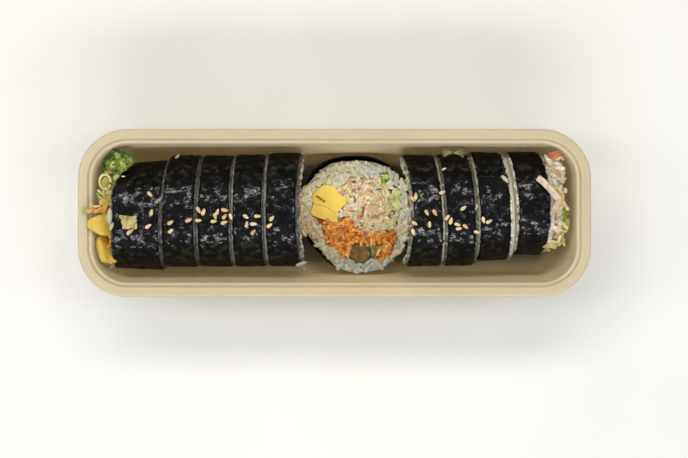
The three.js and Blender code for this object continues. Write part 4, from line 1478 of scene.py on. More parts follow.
@dataclass
class CutFace:
    """The fillings of a shown face. They are made with the face upwards, in the slice's own axes.

    Attributes:
        suffix: End of the names of its nodes.
        bottom: Where its fillings end below, in mm.
        top: Level of the face, in mm.
        warp: Moves places to the tray.
        seed: Makes its details its own.
        above: Pieces are only scattered where the face's own height is over this.
    """

    suffix: str
    bottom: float
    top: float
    warp: Warp
    seed: int
    above: float = -99.0
    taken: list[np.ndarray] = field(default_factory=list)

    def outline(self, points: Outline, passes: int = 2, gap: float = GAP) -> np.ndarray:
        """Rounds an outline, and keeps it clear of the fillings made before.

        Args:
            points: Its corners.
            passes: How often each corner is cut off.
            gap: How far it stays from the others, in mm.

        Returns:
            (points, 2) places along it.
        """
        line = rounded(points, 120, passes)
        middle = line.mean(0)
        for other in self.taken:
            for _ in range(40):
                close = inside(other, line) | (distance_to(other, line) < gap)
                if not close.any():
                    break
                line[close] += (middle - line[close]) * 0.04
        self.taken.append(line)
        return line

    def pour(self, mould: Mould, kind: str, finish: Finish) -> None:
        """Makes the filling's piece."""
        node = f"{kind}_{self.suffix}"
        mould.pour(f"cut_{node}", finish, [node], self.warp)

    def egg(self, kind: str, outline: Outline, slits: Sequence[Outline] = ()) -> None:
        """Makes a strip of fried egg, cut with a knife: flat, with sharp edges and a few pores.

        Args:
            kind: Name of the filling.
            outline: Its outline.
            slits: Lines along which its layers have parted. Each is sunk, and tinted darker as painted shade
                in
            the crease.
        """
        line = self.outline(outline, 0, 0.06)
        shape = slab(line, self.bottom, self.top + EGG_PROUD, 0.22, 0.16, 4.0, self.seed + len(self.taken))
        upper = step(shape.points[:, 2], self.top - 1.5, self.top)
        pores = np.clip(0.16 - cells(shape.points, 2.3, self.seed), 0, 1)
        shape.points[:, 2] -= upper * 1.2 * pores
        brown = 0.5 + 0.5 * cloud(shape.points, 6.0, self.seed + 4)
        shade = 1 - (brown * 0.08)[:, None] * (0.5, 1.0, 1.8)
        for slit in slits:
            path = flowing([(*point, 0.0) for point in slit], 40)[:, :2]
            near = np.exp(-((distance_to(path, shape.points[:, :2]) / 0.38) ** 2)) * upper
            shape.points[:, 2] -= 1.4 * near
            # Painted shade: the tint darkens along each slit's crease.
            shade *= 1 - 0.75 * near[:, None]
        mould = Mould()
        mould.add(shape, shade)
        self.pour(mould, kind, EGG)

    def heap(
        self, kind: str, outline: Outline, finish: Finish, shapes: Sequence[Shape], palette: Palette,
        count: int, bed: str, flow: float, strew: float, length: float,
        sizes: tuple[float, float] = (0.88, 1.1), drift: str = "",
    ) -> None:
        """Makes a filling of shreds that lie over each other on a rough bed.

        Args:
            kind: Name of the filling.
            outline: Its outline.
            finish: Its finish.
            shapes: Its shreds.
            palette: Their tints.
            count: How many there are.
            bed: Tint of the bed between them. It is darker than the shreds: partly the filling's own colour,
            partly painted shade in the gaps.
            flow: The direction in which most of them lie, in radians.
            strew: How far they stray from it, in radians.
            length: Length that has to fit within the outline.
            sizes: Smallest and largest scale.
            drift: Tint that they turn to at the right, if they do.
        """
        rng = np.random.default_rng(self.seed * 31 + len(self.taken))
        line = self.outline(outline, 2, 0.2)
        body = slab(line, self.bottom, self.top - 0.8, 0.6, 0.7, 1.8, self.seed + len(self.taken))
        mould = Mould()
        # The bed shows between the shreds: its dark tint is partly painted shade in those gaps.
        mould.add(body, rgb(bed))
        low, high = line.min(0), line.max(0)
        tries = count * 14
        flat = rng.uniform(low, high, (tries, 2))
        yaw = flow + rng.normal(0, strew, tries)
        ahead = np.stack([np.cos(yaw), np.sin(yaw)], 1) * length / 2
        fits = inside(line, flat) & inside(line, flat + ahead) & inside(line, flat - ahead)
        fits &= (distance_to(line, flat) > 0.55) & (flat[:, 1] > self.above)
        flat, yaw = flat[fits][:count], yaw[fits][:count]
        level = self.top - 0.8 + np.sort(rng.uniform(0, 1, len(flat))) * 0.85
        places = np.concatenate([flat, level[:, None]], 1)
        tints = palette.draw(rng, len(flat), 0.14)
        if drift:
            share = 0.5 * step(flat[:, :1], 7, 16)
            tints = tints * (1 - share) + rgb(drift) * share
        lay(mould, shapes, places, rng, tints, yaw, 0.3, roll=0.9, sizes=sizes)
        self.pour(mould, kind, finish)

    def carrot(self, kind: str, outline: Outline, count: int, flow: float = 0.3) -> None:
        """Makes a bundle of fried carrot shreds."""
        # Its dark bed tint is partly painted shade between the shreds.
        self.heap(kind, outline, CARROT, SHREDS, Palette.CARROT, count, "#8f5a2a", flow, 1.1, 2.2)

    def crab(self, kind: str, outline: Outline, count: int, flow: float = 0.6) -> None:
        """Makes the crab salad."""
        # Its dark bed tint is partly painted shade between the shreds.
        self.heap(
            kind, outline, CRAB, FLAKES, Palette.CRAB, count,
            "#8f8060", flow, 1.4, 1.6, (1.0, 1.45), "#c3cc88"
        )

    def pickle(self, kind: str, outline: Outline, flesh: str, skin: str) -> None:
        """Makes a strip of pickle, whose skin is darker than its flesh.

        Args:
            kind: Name of the filling.
            outline: Its outline.
            flesh: Colour of its flesh, as sRGB hex.
            skin: Colour of its skin, as sRGB hex.
        """
        line = self.outline(outline, 1, 0.08)
        shape = slab(line, self.bottom, self.top + 0.3, 0.35, 0.2, 2.6, self.seed + len(self.taken))
        share = step(distance_to(line, shape.points[:, :2]), 0.3, 1.1)[:, None]
        streak = 0.5 + 0.5 * cloud(shape.points, 1.6, self.seed + 7)
        tint = rgb(skin) * (1 - share) + rgb(flesh) * share
        mould = Mould()
        mould.add(shape, tint * (0.8 + 0.35 * streak)[:, None])
        self.pour(mould, kind, PICKLE)

    def lettuce(self, kind: str, outline: Outline, folds: int, palette: Palette) -> None:
        """Makes folded leaves seen at their cut edge.

        Args:
            kind: Name of the filling.
            outline: Its outline.
            folds: How many folds there are.
            palette: Their tints.
        """
        rng = np.random.default_rng(self.seed * 17 + len(self.taken))
        line = self.outline(outline)
        mould = Mould()
        body = slab(line, self.bottom, self.top - 0.8, 0.5, 0.7, 1.8, self.seed + len(self.taken))
        mould.add(body, palette.draw(rng, 1, 0.0)[0] * 0.95)
        middle = line.mean(0)
        along = np.linalg.svd(line - middle, full_matrices=False)[2][0]
        across = np.array([-along[1], along[0]])
        reach, width = (np.abs((line - middle) @ way).max() for way in (along, across))
        for fold, tint in enumerate(palette.draw(rng, folds, 0.1)):
            place = 0.8 * (2 * (fold + 0.5) / folds - 1)
            run = np.linspace(-0.85, 0.85, 7)[:, None] * reach * math.sqrt(1 - place**2)
            bent = middle + run * along + (place * width + rng.normal(0, 0.16, (7, 1))) * across
            level = self.top - 0.9 + rng.uniform(0, 0.4, (7, 1))
            mould.add(strand(np.concatenate([bent, level], 1).tolist(), 1.1, 2.0, 6, 22, 0.2), tint)
        self.pour(mould, kind, LEAF)


@dataclass
class FlatSlice:
    """Dresses the slice that lies face up. It is squeezed by its neighbours to an oval with full corners.

    Attributes:
        x: Place of its middle along the tray.
        y: Place of its middle across the tray.
        half_length: Half its length along the tray.
        half_width: Half its width across the tray.
        thickness: How thick it is.
        fullness: How full its corners are. 2 would be a plain oval.
        dent: Where its neighbour presses it in: the direction and the spread, in degrees, and the depth.
        side: Shares of the outline, and their heights.
        seed: Makes its details its own.
    """

    x: float = 8.75
    y: float = -0.5
    half_length: float = 23.7
    half_width: float = 26.2
    thickness: float = 17.4
    fullness: float = 2.5
    dent: tuple[float, float, float] = (-131.0, 26.0, 3.5)
    side: tuple[tuple[float, float], ...] = ((0.8, 0.0), (0.95, 3.0), (1.0, 11.4), (0.99, 17.4))
    seed: int = 7

    def __post_init__(self) -> None:
        """Starts its random draws and its fillings."""
        self.rng = np.random.default_rng(self.seed)
        self.face = CutFace("centre", 0.0, self.thickness, self.in_tray, self.seed)

    def in_tray(self, points: np.ndarray) -> np.ndarray:
        """Moves places from its own axes to the tray's."""
        return points + (self.x, self.y, TRAY_FLOOR + GAP)

    def girth(self, level: np.ndarray | float) -> np.ndarray:
        """Gives the share of the outline at some heights."""
        return np.interp(level, [height for _, height in self.side], [share for share, _ in self.side])

    def outline(self, angle: np.ndarray) -> np.ndarray:
        """Gives how far the seaweed stands from the middle in some directions.

        Args:
            angle: The directions, in radians.

        Returns:
            Distances, in mm.
        """
        power = self.fullness
        across = np.abs(np.cos(angle) / self.half_length) ** power
        across = across + np.abs(np.sin(angle) / self.half_width) ** power
        towards, spread_, depth = self.dent
        off = (np.degrees(angle) - towards + 180) % 360 - 180
        return across ** (-1 / power) - depth * np.exp(-((off / spread_) ** 2))

    @staticmethod
    def bare(angle: np.ndarray) -> tuple[np.ndarray, np.ndarray]:
        """Tells where the seaweed's edge stands clear of the rice: on the far side, and at the lower left.

        Args:
            angle: Directions, in radians.

        Returns:
            How clear it stands in each, from 0 to 1, on the far side and at the lower left.
        """
        degrees = np.degrees(angle) % 360
        far = step(degrees, 44, 70) * (1 - step(degrees, 134, 152))
        near = step(degrees, 196, 208) * (1 - step(degrees, 238, 252))
        return far, near

    def edge(self, angle: np.ndarray) -> np.ndarray:
        """Gives how far the rice reaches at the face in some directions.

        Args:
            angle: The directions, in radians.

        Returns:
            Distances from the middle, in mm.
        """
        far, near = self.bare(angle)
        around = np.stack([np.cos(angle), np.sin(angle), 0 * angle], -1).reshape(-1, 3) * AROUND
        rough = 0.35 * cloud(around, 4.0, 8.5).reshape(np.shape(angle))
        return self.outline(angle) - 0.1 - 1.9 * far - 1.0 * near + rough

    def sleeve(self) -> None:
        """Makes its seaweed. Rice hides its edge, but for the far side, where it stands off."""
        count, rows = 260, 36
        angle, share = np.meshgrid(np.arange(count) / count * 2 * np.pi, np.linspace(0, 1, rows))
        angle, share = angle.ravel(), share.ravel()
        bare = np.maximum(*self.bare(angle))
        level = share * (self.thickness - 2.1 + 1.5 * bare)
        outward = np.stack([np.cos(angle), np.sin(angle), 0 * angle], 1)
        reach = self.outline(angle) * self.girth(level) + 0.3 * bare * step(share, 0.5, 1)
        points = outward * reach[:, None] + np.stack([0 * level, 0 * level, level], 1)
        upper = step(share, 0.88, 1.0)
        points = crinkled(points, outward, 3.3)
        rough = cloud(outward * AROUND, 2.2, 1.5) + 0.6 * cloud(outward * AROUND, 0.9, 2.5)
        points[:, 2] += upper * 0.45 * rough
        mould = Mould()
        mould.add(Shape.of(drawn(points.reshape(rows, count, 3), capped=False)))
        mould.pour("seaweed_centre", SEAWEED, ["nori_centre"], self.in_tray, wall=NORI)

    def rice(self) -> None:
        """Makes its rice, after the fillings that it gives way to."""
        count, top = 220, self.thickness
        angle = np.arange(count) / count * 2 * np.pi
        edge, wall = self.edge(angle), self.outline(angle)
        levels = [(share * edge, np.full(count, top)) for share in np.linspace(0.01, 0.96, 64)]
        levels += [(0.985 * edge, np.full(count, top - 0.35)), (0.98 * edge, np.full(count, top - 1.1))]
        for height in (top - 1.6, top - 2.4, 11.0, 7.0, 3.0, 0.0):
            inner = wall * self.girth(height) - NORI - GAP - 0.4
            levels.append((np.minimum(inner, edge), np.full(count, height)))
        c, s = np.cos(angle), np.sin(angle)
        rings = np.array([np.stack([reach * c, reach * s, z], 1) for reach, z in levels])
        points = rings.reshape(-1, 3)
        upper = points[:, 2] > top - 0.1
        bump = 0.45 - cells(points, 2.4, 4.2)
        sunk = np.zeros(len(points), bool)
        for line in self.face.taken:
            sunk |= inside(line, points[:, :2]) | (distance_to(line, points[:, :2]) < 0.1)
        points[:, 2] += np.where(upper, 0.8 * bump - 0.7, 0)
        points[:, 2] = np.where(upper & sunk, 0.4, points[:, 2])
        mould = Mould()
        # The body shows between the grains: its darker tint is painted shade in the gaps.
        mould.add(Shape.of(drawn(rings)), rgb("#aaa58c"))
        rng = self.rng
        own = Mould()
        for number, low, high in ((560, -1.3, -0.9), (620, -0.85, -0.4), (520, -0.5, -0.1)):
            places = spread(number, 28.0, rng)
            reach = np.hypot(*places.T)
            places = places[reach < self.edge(np.arctan2(places[:, 1], places[:, 0])) - 0.9]
            for line in self.face.taken:
                places = places[~inside(line, places)]
                places = places[distance_to(line, places) > 0.6]
            level = top + rng.uniform(low, high, len(places))
            tints = self.tints(places)
            lay(own, CUT_GRAINS, np.concatenate([places, level[:, None]], 1), rng, tints, tilt=0.42)
        mould.press(own, self.pressed)
        for towards, half, number in ((-2, 38, 56), (178, 26, 34)):  # wedged between it and its neighbours
            angle = np.radians(towards + rng.uniform(-half, half, number))
            reach = self.outline(angle) + rng.uniform(-0.7, 0.5, number)
            level = top + rng.uniform(-0.8, 0.5, number)
            places = np.stack([reach * np.cos(angle), reach * np.sin(angle), level], 1)
            yaw = angle + math.pi / 2 + rng.normal(0, 0.35, number)
            lay(mould, CUT_GRAINS, places, rng, self.tints(places[:, :2]), yaw, 0.2)
        mould.pour("steamed_rice_centre", RICE, ["rice_centre"], self.in_tray)

    def pressed(self, points: np.ndarray) -> np.ndarray:
        """Cuts grains flat where the knife went.

        Args:
            points: (n, 3) places in the slice's own axes, in mm.

        Returns:
            (n, 3) places.
        """
        points = points.copy()
        cut = self.thickness + 0.12 * cloud(points * (1, 1, 0), 3.0, 6.0)
        points[:, 2] = np.minimum(points[:, 2], cut + 0.25 * np.clip(points[:, 2] - cut, 0, 1))
        return points

    def tints(self, places: np.ndarray) -> np.ndarray:
        """Tints grains: yellowish at the upper left, greyish white at the right, peach beside the carrot, and
        darker at the near edge as painted shade of the tray's near wall.

        Args:
            places: (n, 2) places on the face, in mm.

        Returns:
            (n, 3) linear colours.
        """
        rng = self.rng
        clean = Palette.RICE_CLEAN.draw(rng, len(places), 0.06)
        warm = Palette.RICE_WARM.draw(rng, len(places), 0.06)
        peach = Palette.RICE_PEACH.draw(rng, len(places), 0.06)
        x, y = places.T
        left = step(-x + 0.25 * y, -4, 10)[:, None]
        mixed = clean * (1 - left) + warm * left
        stained = np.exp(-(((x + 19) / 3.5) ** 2) - ((y + 4) / 5) ** 2)
        stained = np.maximum(stained, 0.8 * np.exp(-(((x - 17) / 6) ** 2) - ((y + 5) / 4) ** 2))[:, None]
        # Painted shade: grains near the near edge are darkened as if the tray's near wall shades them.
        shaded = (1 - 0.4 * step(-y, 15, 21))[:, None]
        return (mixed * (1 - stained) + peach * stained) * shaded

    def dress(self) -> None:
        """Makes its seaweed, its fillings and its rice."""
        face = self.face
        self.sleeve()
        face.egg("egg_1", FACE["egg_1"], [[(-17, 8.3), (-15.4, 7.3), (-13.7, 6)]])
        face.egg("egg_2", FACE["egg_2"])
        face.pickle("pickle_1", FACE["pickle_1"], *BURDOCK)
        face.pickle("pickle_2", FACE["pickle_2"], *CUCUMBER)
        face.lettuce("lettuce_1", FACE["lettuce_1"], 6, Palette.LEAF_PALE)
        face.lettuce("lettuce_2", FACE["lettuce_2"], 4, Palette.LEAF_BRIGHT)
        face.crab("crab", FACE["crab"], 680)
        face.carrot("carrot_1", FACE["carrot_1"], 330, -0.35)
        face.carrot("carrot_2", FACE["carrot_2"], 200, 0.5)
        self.rice()


@dataclass
class Facing(Standing):
    """Dresses a slice that stands beside the flat one, with the fillings of the face that shows above it.

    Attributes:
        turn: Turn of the fillings about the roll's axis, in degrees.
    """

    proud: float = 0.8
    turn: float = 0.0

    def settle(self, points: np.ndarray) -> np.ndarray:
        """Turns fillings to the shown face, and moves them to the tray."""
        return self.shape.in_tray(points * ((1, 1, 1) if self.shown[1] else (-1, 1, -1)))

    def fill(self) -> None:
        """Makes the fillings, and keeps their outlines as wells in the rice."""
        flip = not self.shown[1]
        face = CutFace(self.shape.name, 0.6 - self.face, self.face - 1.5, self.settle, self.seed, -8.0)
        egg, pickle, crab, carrot = [turned(FACE[kind], self.turn, flip) for kind in
                                     ("egg_1", "pickle_1", "crab", "carrot_1")]
        face.egg("egg", egg)
        face.pickle("pickle", pickle, *BURDOCK)
        face.crab("crab", crab, 170)
        face.carrot("carrot", carrot, 110)
        self.wells = [line * ((-1, 1) if flip else (1, 1)) for line in face.taken]

    def dress(self) -> None:
        """Makes its fillings, its seaweed and its rice."""
        self.fill()
        super().dress()


# ---- The roll's two ends -----------------------------------------------------------------------------------


@dataclass(frozen=True)
class Strip:
    """A strip or a shred with an uneven skin.

    Attributes:
        path: Points along it, in mm. A fourth value scales its section there.
        width: Its width, in mm.
        thickness: Its thickness, in mm.
        colour: Its colour, as sRGB hex. It multiplies the finish's own.
        seed: Makes its unevenness its own.
        tilt: Turn of its section, in radians.
        lumps: Height of its unevenness, in mm.
        fine: Whether it has many faces.
        squareness: 1 for an oval section, and less for one with fuller corners.
    """

    path: Path
    width: float
    thickness: float
    colour: str
    seed: float = 0.0
    tilt: float = 0.0
    lumps: float = 0.25
    fine: bool = False
    squareness: float = 0.6

    def made(self) -> tuple[Shape, np.ndarray]:
        """Makes it.

        Returns:
            Its skin, and its tints.
        """
        around, steps = (28, 60) if self.fine else (12, 24)
        shape = strand(self.path, self.width, self.thickness, around, steps, self.tilt, 0.0, self.squareness)
        out = shape.points - shape.points.mean(0)
        out[:, 0] = 0
        out /= np.maximum(np.linalg.norm(out, axis=1), TINY)[:, None]
        relief = cloud(shape.points, 3.0, self.seed) + 0.5 * cloud(shape.points, 1.2, self.seed + 1)
        shape.points += out * (self.lumps * relief)[:, None]
        shade = 1 + 0.14 * cloud(shape.points, 2.4, self.seed + 3)
        return shape, rgb(self.colour) * shade[:, None]


@dataclass(frozen=True)
class Frill:
    """A thin leaf that fans out from a root, frilled at its edge.

    Attributes:
        root: Where it starts, in mm.
        start: First direction, in degrees.
        stop: Last direction, in degrees.
        reach: Its length, in mm.
        rise: How steeply it rises.
        waves: How many large waves its edge has.
        height: Height of those waves, in mm.
        seed: Makes its frills its own.
        green: Its colour past the pale rib, as sRGB hex.
        shade: How light it is.
    """

    root: tuple[float, float, float]
    start: float
    stop: float
    reach: float
    rise: float
    waves: float
    height: float
    seed: float
    green: str = "#7f9636"
    shade: float = 1.0

    def made(self) -> tuple[Shape, np.ndarray]:
        """Makes it.

        Returns:
            Its skin, and its tints.
        """
        seed, rows, columns = self.seed, 18, 96
        share, turn = np.meshgrid(np.linspace(0, 1, rows), np.linspace(0, 1, columns), indexing="ij")
        angle = np.radians(self.start + (self.stop - self.start) * turn)
        lobes = 1 + 0.07 * np.sin(turn * 17 + seed) + 0.04 * np.sin(turn * 41 + seed * 2)
        far = (0.4 + (self.reach - 0.4) * share) * lobes
        points = np.stack([far * np.cos(angle), far * np.sin(angle), self.rise * far], -1)
        wave = self.height * share**1.5 * np.sin(turn * self.waves * 2 * np.pi + seed)
        phase = turn * self.waves * 9.1 * np.pi + seed * 3 + 4 * share
        points[..., 2] += wave + 0.6 * self.height * share**1.7 * np.sin(phase)
        flat = points.reshape(-1, 3)
        flat[:, 2] += 0.5 * cloud(flat, 1.7, seed)
        flat[:, :2] += 0.4 * np.stack([cloud(flat, 1.5, seed + 4), cloud(flat, 1.5, seed + 8)], 1)
        veins = np.abs(np.sin(turn * self.waves * 3.1 * np.pi)) ** 6 * (1 - share)
        pale = (np.clip(1 - share * 1.5, 0, 1) * 0.7 + veins * 0.5).reshape(-1, 1).clip(0, 1)
        blade = rgb(self.green) * (1 + 0.3 * cloud(flat, 2.2, seed + 2))[:, None]
        return ribbon(points + self.root), (blade * (1 - pale) + rgb("#cdd38a") * pale) * self.shade


@dataclass(frozen=True)
class Scrap:
    """A small crumpled scrap of leaf.

    Attributes:
        place: Its middle, in mm.
        half: Half its width, in mm.
        seed: Makes its folds its own.
        colours: Its two tints, as sRGB hex.
    """

    place: tuple[float, float, float]
    half: float
    seed: float
    colours: tuple[str, str]

    def made(self) -> tuple[Shape, np.ndarray]:
        """Makes it.

        Returns:
            Its skin, and its tints.
        """
        seed, half = self.seed, self.half
        a, b = np.meshgrid(np.linspace(-1, 1, 34), np.linspace(-1, 1, 34), indexing="ij")
        around = np.arctan2(b, a)
        edge = 1 + 0.1 * np.sin(around * 3 + seed) + 0.06 * np.sin(around * 8 + seed)
        points = np.stack([a * half * edge * (1 + 0.22 * b), b * half * 0.9 * edge, 0 * a], -1)
        flat = points.reshape(-1, 3)
        flat[:, 2] = 0.75 * np.abs(cloud(flat, 2.2, seed)) * 1.6 + 0.25 * cloud(flat, 0.9, seed + 2)
        flat[:, :2] *= 1 - 0.12 * np.abs(cloud(flat, 1.8, seed + 5))[:, None]
        share = (0.6 + 0.4 * cloud(flat, 1.6, seed + 7) - 0.6 * flat[:, 1] / half).clip(0, 1)[:, None]
        first, second = map(rgb, self.colours)
        return ribbon(points + self.place), first * share + second * (1 - share)


@dataclass(frozen=True)
class Bundle:
    """A piece made of strips, shreds or leaves.

    Attributes:
        name: The piece's name.
        finish: Its finish.
        parts: What it is made of.
        nodes: The CAD nodes that it stands for.
        warp: A rule that moves its points, in mm.
        wall: Thickness that open leaves are given, in mm.
    """

    name: str
    finish: Finish
    parts: Sequence[Strip | Frill | Scrap]
    nodes: Sequence[str] = ()
    warp: Warp | None = None
    wall: float = 0.0

    def dress(self) -> None:
        """Makes the piece."""
        mould = Mould()
        for part in self.parts:
            mould.add(*part.made())
        mould.pour(self.name, self.finish, self.nodes, self.warp, wall=self.wall)


def shredded(
    rows: Sequence[tuple[Path, float]], thickness: float, colours: Sequence[str], seed: int
) -> list[Strip]:
    """Gives shreds whose colours take turns.

    Args:
        rows: The path and the width of each.
        thickness: Their thickness, in mm.
        colours: Their colours, as sRGB hex.
        seed: Makes the unevenness of the first its own. The others count on from it.

    Returns:
        The shreds.
    """
    return [
        Strip(path, width, thickness, colours[i % len(colours)], seed + i)
        for i, (path, width) in enumerate(rows)
    ]


@dataclass
class RollEnd:
    """Dresses the slice at an end of the roll, whose fillings lean out of it towards the end wall.

    Attributes:
        shape: The slice.
        seed: Makes its details its own.
        rims: Tints of its rims, at its first and at its last face. Their greys are painted shade of the
            narrow
        gaps they lie in.
        shown: Whether its first and its last face are seen.
        margins: Rice that shows past the seaweed at its first and its last face, in mm.
        dome: How far its last face swells, in mm.
        wells: Where fillings run in its rice: place across the tray, height over its base, half width and
            half height of each, in mm.
        draws: Seed of the places of its loose grains.
        heaps: Its loose grains: the middle of a heap as place across, height over the tray's base and
            distance out of the face, then the half sizes, how many there are, and their tints.
        largest: Largest scale of its loose grains.
        palette: Tints of its face.
        fillings: The pieces that lean out of it.
    """

    shape: Slice
    seed: int
    rims: tuple[Palette, Palette]
    shown: tuple[bool, bool]
    margins: tuple[float, float]
    dome: float
    wells: Sequence[tuple[float, float, float, float]]
    draws: int
    heaps: Sequence[tuple[tuple[float, float, float], tuple[float, float, float], int, Palette]]
    largest: float
    palette: Palette
    fillings: Sequence[Bundle]

    def dress(self) -> None:
        """Makes its seaweed, its rice and its fillings."""
        shape = self.shape
        standing = Standing(
            shape, self.seed, self.rims, self.shown, self.margins, dome=self.dome, palette=self.palette
        )
        corners = ((-1, -1), (1, -1), (1, 1), (-1, 1))
        standing.wells = [
            rounded([(y - shape.y + dx * w, z - shape.axis_height + dy * h) for dx, dy in corners], 60, 1)
            for y, z, w, h in self.wells
        ]
        rng = np.random.default_rng(self.draws)
        side = 1 if self.shown[1] else -1
        for (across, height, out), half, count, tints in self.heaps:
            middle = np.array((across, height - shape.axis_height, side * (standing.face + out)))
            places = middle + rng.uniform(-1, 1, (count, 3)) * half
            standing.patches.append((places, tints, self.largest))
        standing.dress()
        for filling in self.fillings:
            filling.dress()


CUT_CARROT = [
    Strip(path, 1.1, 0.9, colour, 60 + i)
    for i, (path, colour) in enumerate((
        ([(-99.4, 2.2, 45.4), (-102.2, 0.2, 46.2)], "#cf9448"),
        ([(-100.2, 0.4, 45.8), (-103.4, 2.2, 46.3)], "#b97c3e"),
        ([(-99.8, 2.9, 45.2), (-103.8, 2.6, 46.0)], "#d6b070"),
        ([(-102.0, 2.4, 45.8), (-104.8, 0.2, 46.0)], "#c39a5c"),
    ))
]
CABBAGE_RING = [
    (-98.8 + 2.4 * math.cos(a), 13.4 + 3.2 * math.sin(a), 38.7 + 0.8 * math.sin(a) + 0.3 * math.cos(3 * a))
    for a in (i / 14 * 2 * math.pi for i in range(14))
]
LEFT_FRILLS = [
    Frill((-93.8, 15.4, 35.2), 46, 112, 9.4, 0.16, 2, 1.0, 1.0, "#4f6236"),
    Frill((-93.8, 15.4, 36.0), 96, 170, 7.6, 0.18, 3, 1.0, 2.0, "#5f7838"),
    Frill((-97.2, 21.2, 37.2), 0, 345, 3.0, 0.24, 4, 0.9, 3.0, "#506a30"),
    Frill((-93.8, 24.0, 37.4), 20, 365, 3.6, 0.26, 5, 0.9, 4.0, "#4a6330"),
    Frill((-89.8, 23.4, 37.6), 40, 385, 3.4, 0.26, 5, 0.9, 5.0, "#57733a"),
    Frill((-92.8, 17.6, 37.0), 60, 405, 3.0, 0.24, 4, 0.8, 6.0, "#4c6a40"),
    Frill((-95.4, 20.8, 38.8), 80, 425, 2.8, 0.32, 5, 0.8, 7.0, "#7f8c38"),
    Frill((-91.2, 20.8, 39.0), 10, 355, 3.1, 0.32, 5, 0.8, 8.0, "#84903c"),
    Frill((-88.4, 22.4, 38.6), 30, 375, 2.2, 0.3, 4, 0.7, 9.0, "#74883e"),
    Frill((-93.2, 24.6, 39.0), 50, 395, 1.9, 0.3, 4, 0.6, 10.0, "#76864e"),
]
LEFT_END = RollEnd(
    LEFT[0], 41, (Palette.RICE_GREY, Palette.RICE_GREY), (True, False), (0.4, 0.6), 0.0,
    wells=(
        (-4.7, 36.6, 5.4, 3.0), (-13.2, 27.3, 6.8, 5.8), (1.6, 41.6, 1.9, 1.6), (6.0, 32.6, 4.4, 3.0),
        (12.7, 25.0, 3.2, 3.4),
    ),
    draws=77,
    heaps=(
        ((0, 41.5, 0.6), (4.5, 1.6, 0.9), 16, Palette.RICE_WARM),
        ((-20, 33, 0.4), (2.2, 2.6, 0.8), 10, Palette.RICE_PINK),
        ((-11, 38.5, 0.5), (2.4, 2.4, 0.8), 14, Palette.CARROT),
        ((1, 25, 0.8), (5, 5, 0.9), 20, Palette.RICE_WARM),
        ((10, 39, -0.4), (3.5, 2.5, 0.8), 10, Palette.RICE_WARM),
    ),
    largest=1.05,
    palette=Palette.RICE_WARM,
    fillings=(
        Bundle("fried_egg_end_1", EGG, (
            Strip([(-74.8, -4.6, 36), (-94.4, -4.8, 37.2), (-98, -4.9, 39.6), (-101, -4.8, 42.4, 0.9),
                   (-104.4, -4.7, 44.4, 0.45)], 9.6, 4.2, "#dedbd4", 1, 0.0, 0.3, True, 0.3),
            Strip([(-98.6, -0.8, 42.2), (-98.0, 2.0, 45.2), (-96.4, 5.0, 43.6)], 2.0, 0.8, "#c9b98e", 51),
        ), ["egg_1_left_1"]),
        Bundle("fried_egg_end_2", EGG, (
            Strip([(-74.8, -12.6, 25.6), (-94.6, -14, 29.5), (-98, -15.2, 34), (-101, -15.2, 38.6, 0.8)],
                  14, 4.4, "#dedbd4", 2, 0.35, 0.3, True, 0.35),
        ), ["egg_2_left_1"], Tray().held),
        Bundle("carrot_end_left", CARROT, (
            Strip([(-74.8, 1.6, 41), (-95.4, 1.6, 42.4), (-99, 1.4, 43.8), (-101.6, 1.1, 45),
                   (-103.4, 0.9, 45.4, 0.6)], 2.3, 1.6, "#b9803e", 3, fine=True),
            *CUT_CARROT,
            Strip([(-103.4, 0.8, 45.6, 0.7), (-105.6, 0.8, 45.0), (-107.5, 0.5, 44.2, 0.7)], 2.6, 1.1,
                  "#a6a351", 5),
        ), ["carrot_left_1"]),
        Bundle("cabbage_end_left", CABBAGE, (
            Strip([(-74.8, 5.8, 32), (-94, 6.4, 33.4), (-98.6, 7, 36.6)], 7.4, 4.2, "#c3bd86", 6, -0.3, 0.4),
            Strip([(-90, 12.2, 32.5), (-95.4, 12.4, 35.2), (-98.8, 12.0, 36.2)], 9.6, 3.0,
                  "#a69a5e", 66, 0.1, 0.5, True),
            Strip([(-93, 18.2, 36.0), (-96.6, 18.6, 37.6), (-98.6, 17.4, 37.8)], 3.2, 1.6,
                  "#b3a062", 67, 0.1, 0.4),
            Strip([(-96, 4.2, 40.4), (-98.4, 4.6, 41.2), (-100.6, 4.4, 41.2)], 3.4, 1.6,
                  "#c6a94e", 68, 0.1, 0.3),
            Strip(CABBAGE_RING, 1.05, 1.0, "#d3c894", 7),
            Strip([(-98.9, 11.2, 37.7), (-98.7, 13.4, 37.9), (-98.5, 15.8, 37.9)], 3.6, 1.2, "#a39a48", 52),
            *shredded((
                ([(-96, 7, 35), (-98.4, 9.6, 37.2), (-99, 12, 37.4), (-97.6, 15, 37.6)], 1.9),
                ([(-94.6, 4.4, 34), (-98.2, 5, 38.2), (-101.2, 6.8, 39.8)], 1.8),
                ([(-96.5, 8.8, 37.6), (-99.8, 8.2, 39.2), (-101.6, 9.8, 39.4)], 1.2),
                ([(-95.8, 5.4, 37.6), (-98.8, 7, 39.4), (-99.4, 9.4, 40.0)], 1.3),
                ([(-97.2, 7.4, 36.6), (-101.2, 7.0, 37.6), (-102.4, 8.8, 37.9)], 1.1),
            ), 1.3, ("#d0c998", "#b9bd72", "#d9d2a6"), 8),
        ), ["cabbage_left_1"]),
        Bundle("lettuce_rib_left", LEAF, (
            Strip([(-74.8, 12.4, 22.6), (-89, 12.8, 26.4), (-92.6, 14.4, 32.6), (-94, 15.6, 37)], 4.6, 3.2,
                  "#b9c274", 20, -0.5, 0.3),
        ), ["lettuce_left_1"]),
        Bundle("lettuce_frills_left", LEAF, LEFT_FRILLS, wall=0.45),
    ),
)
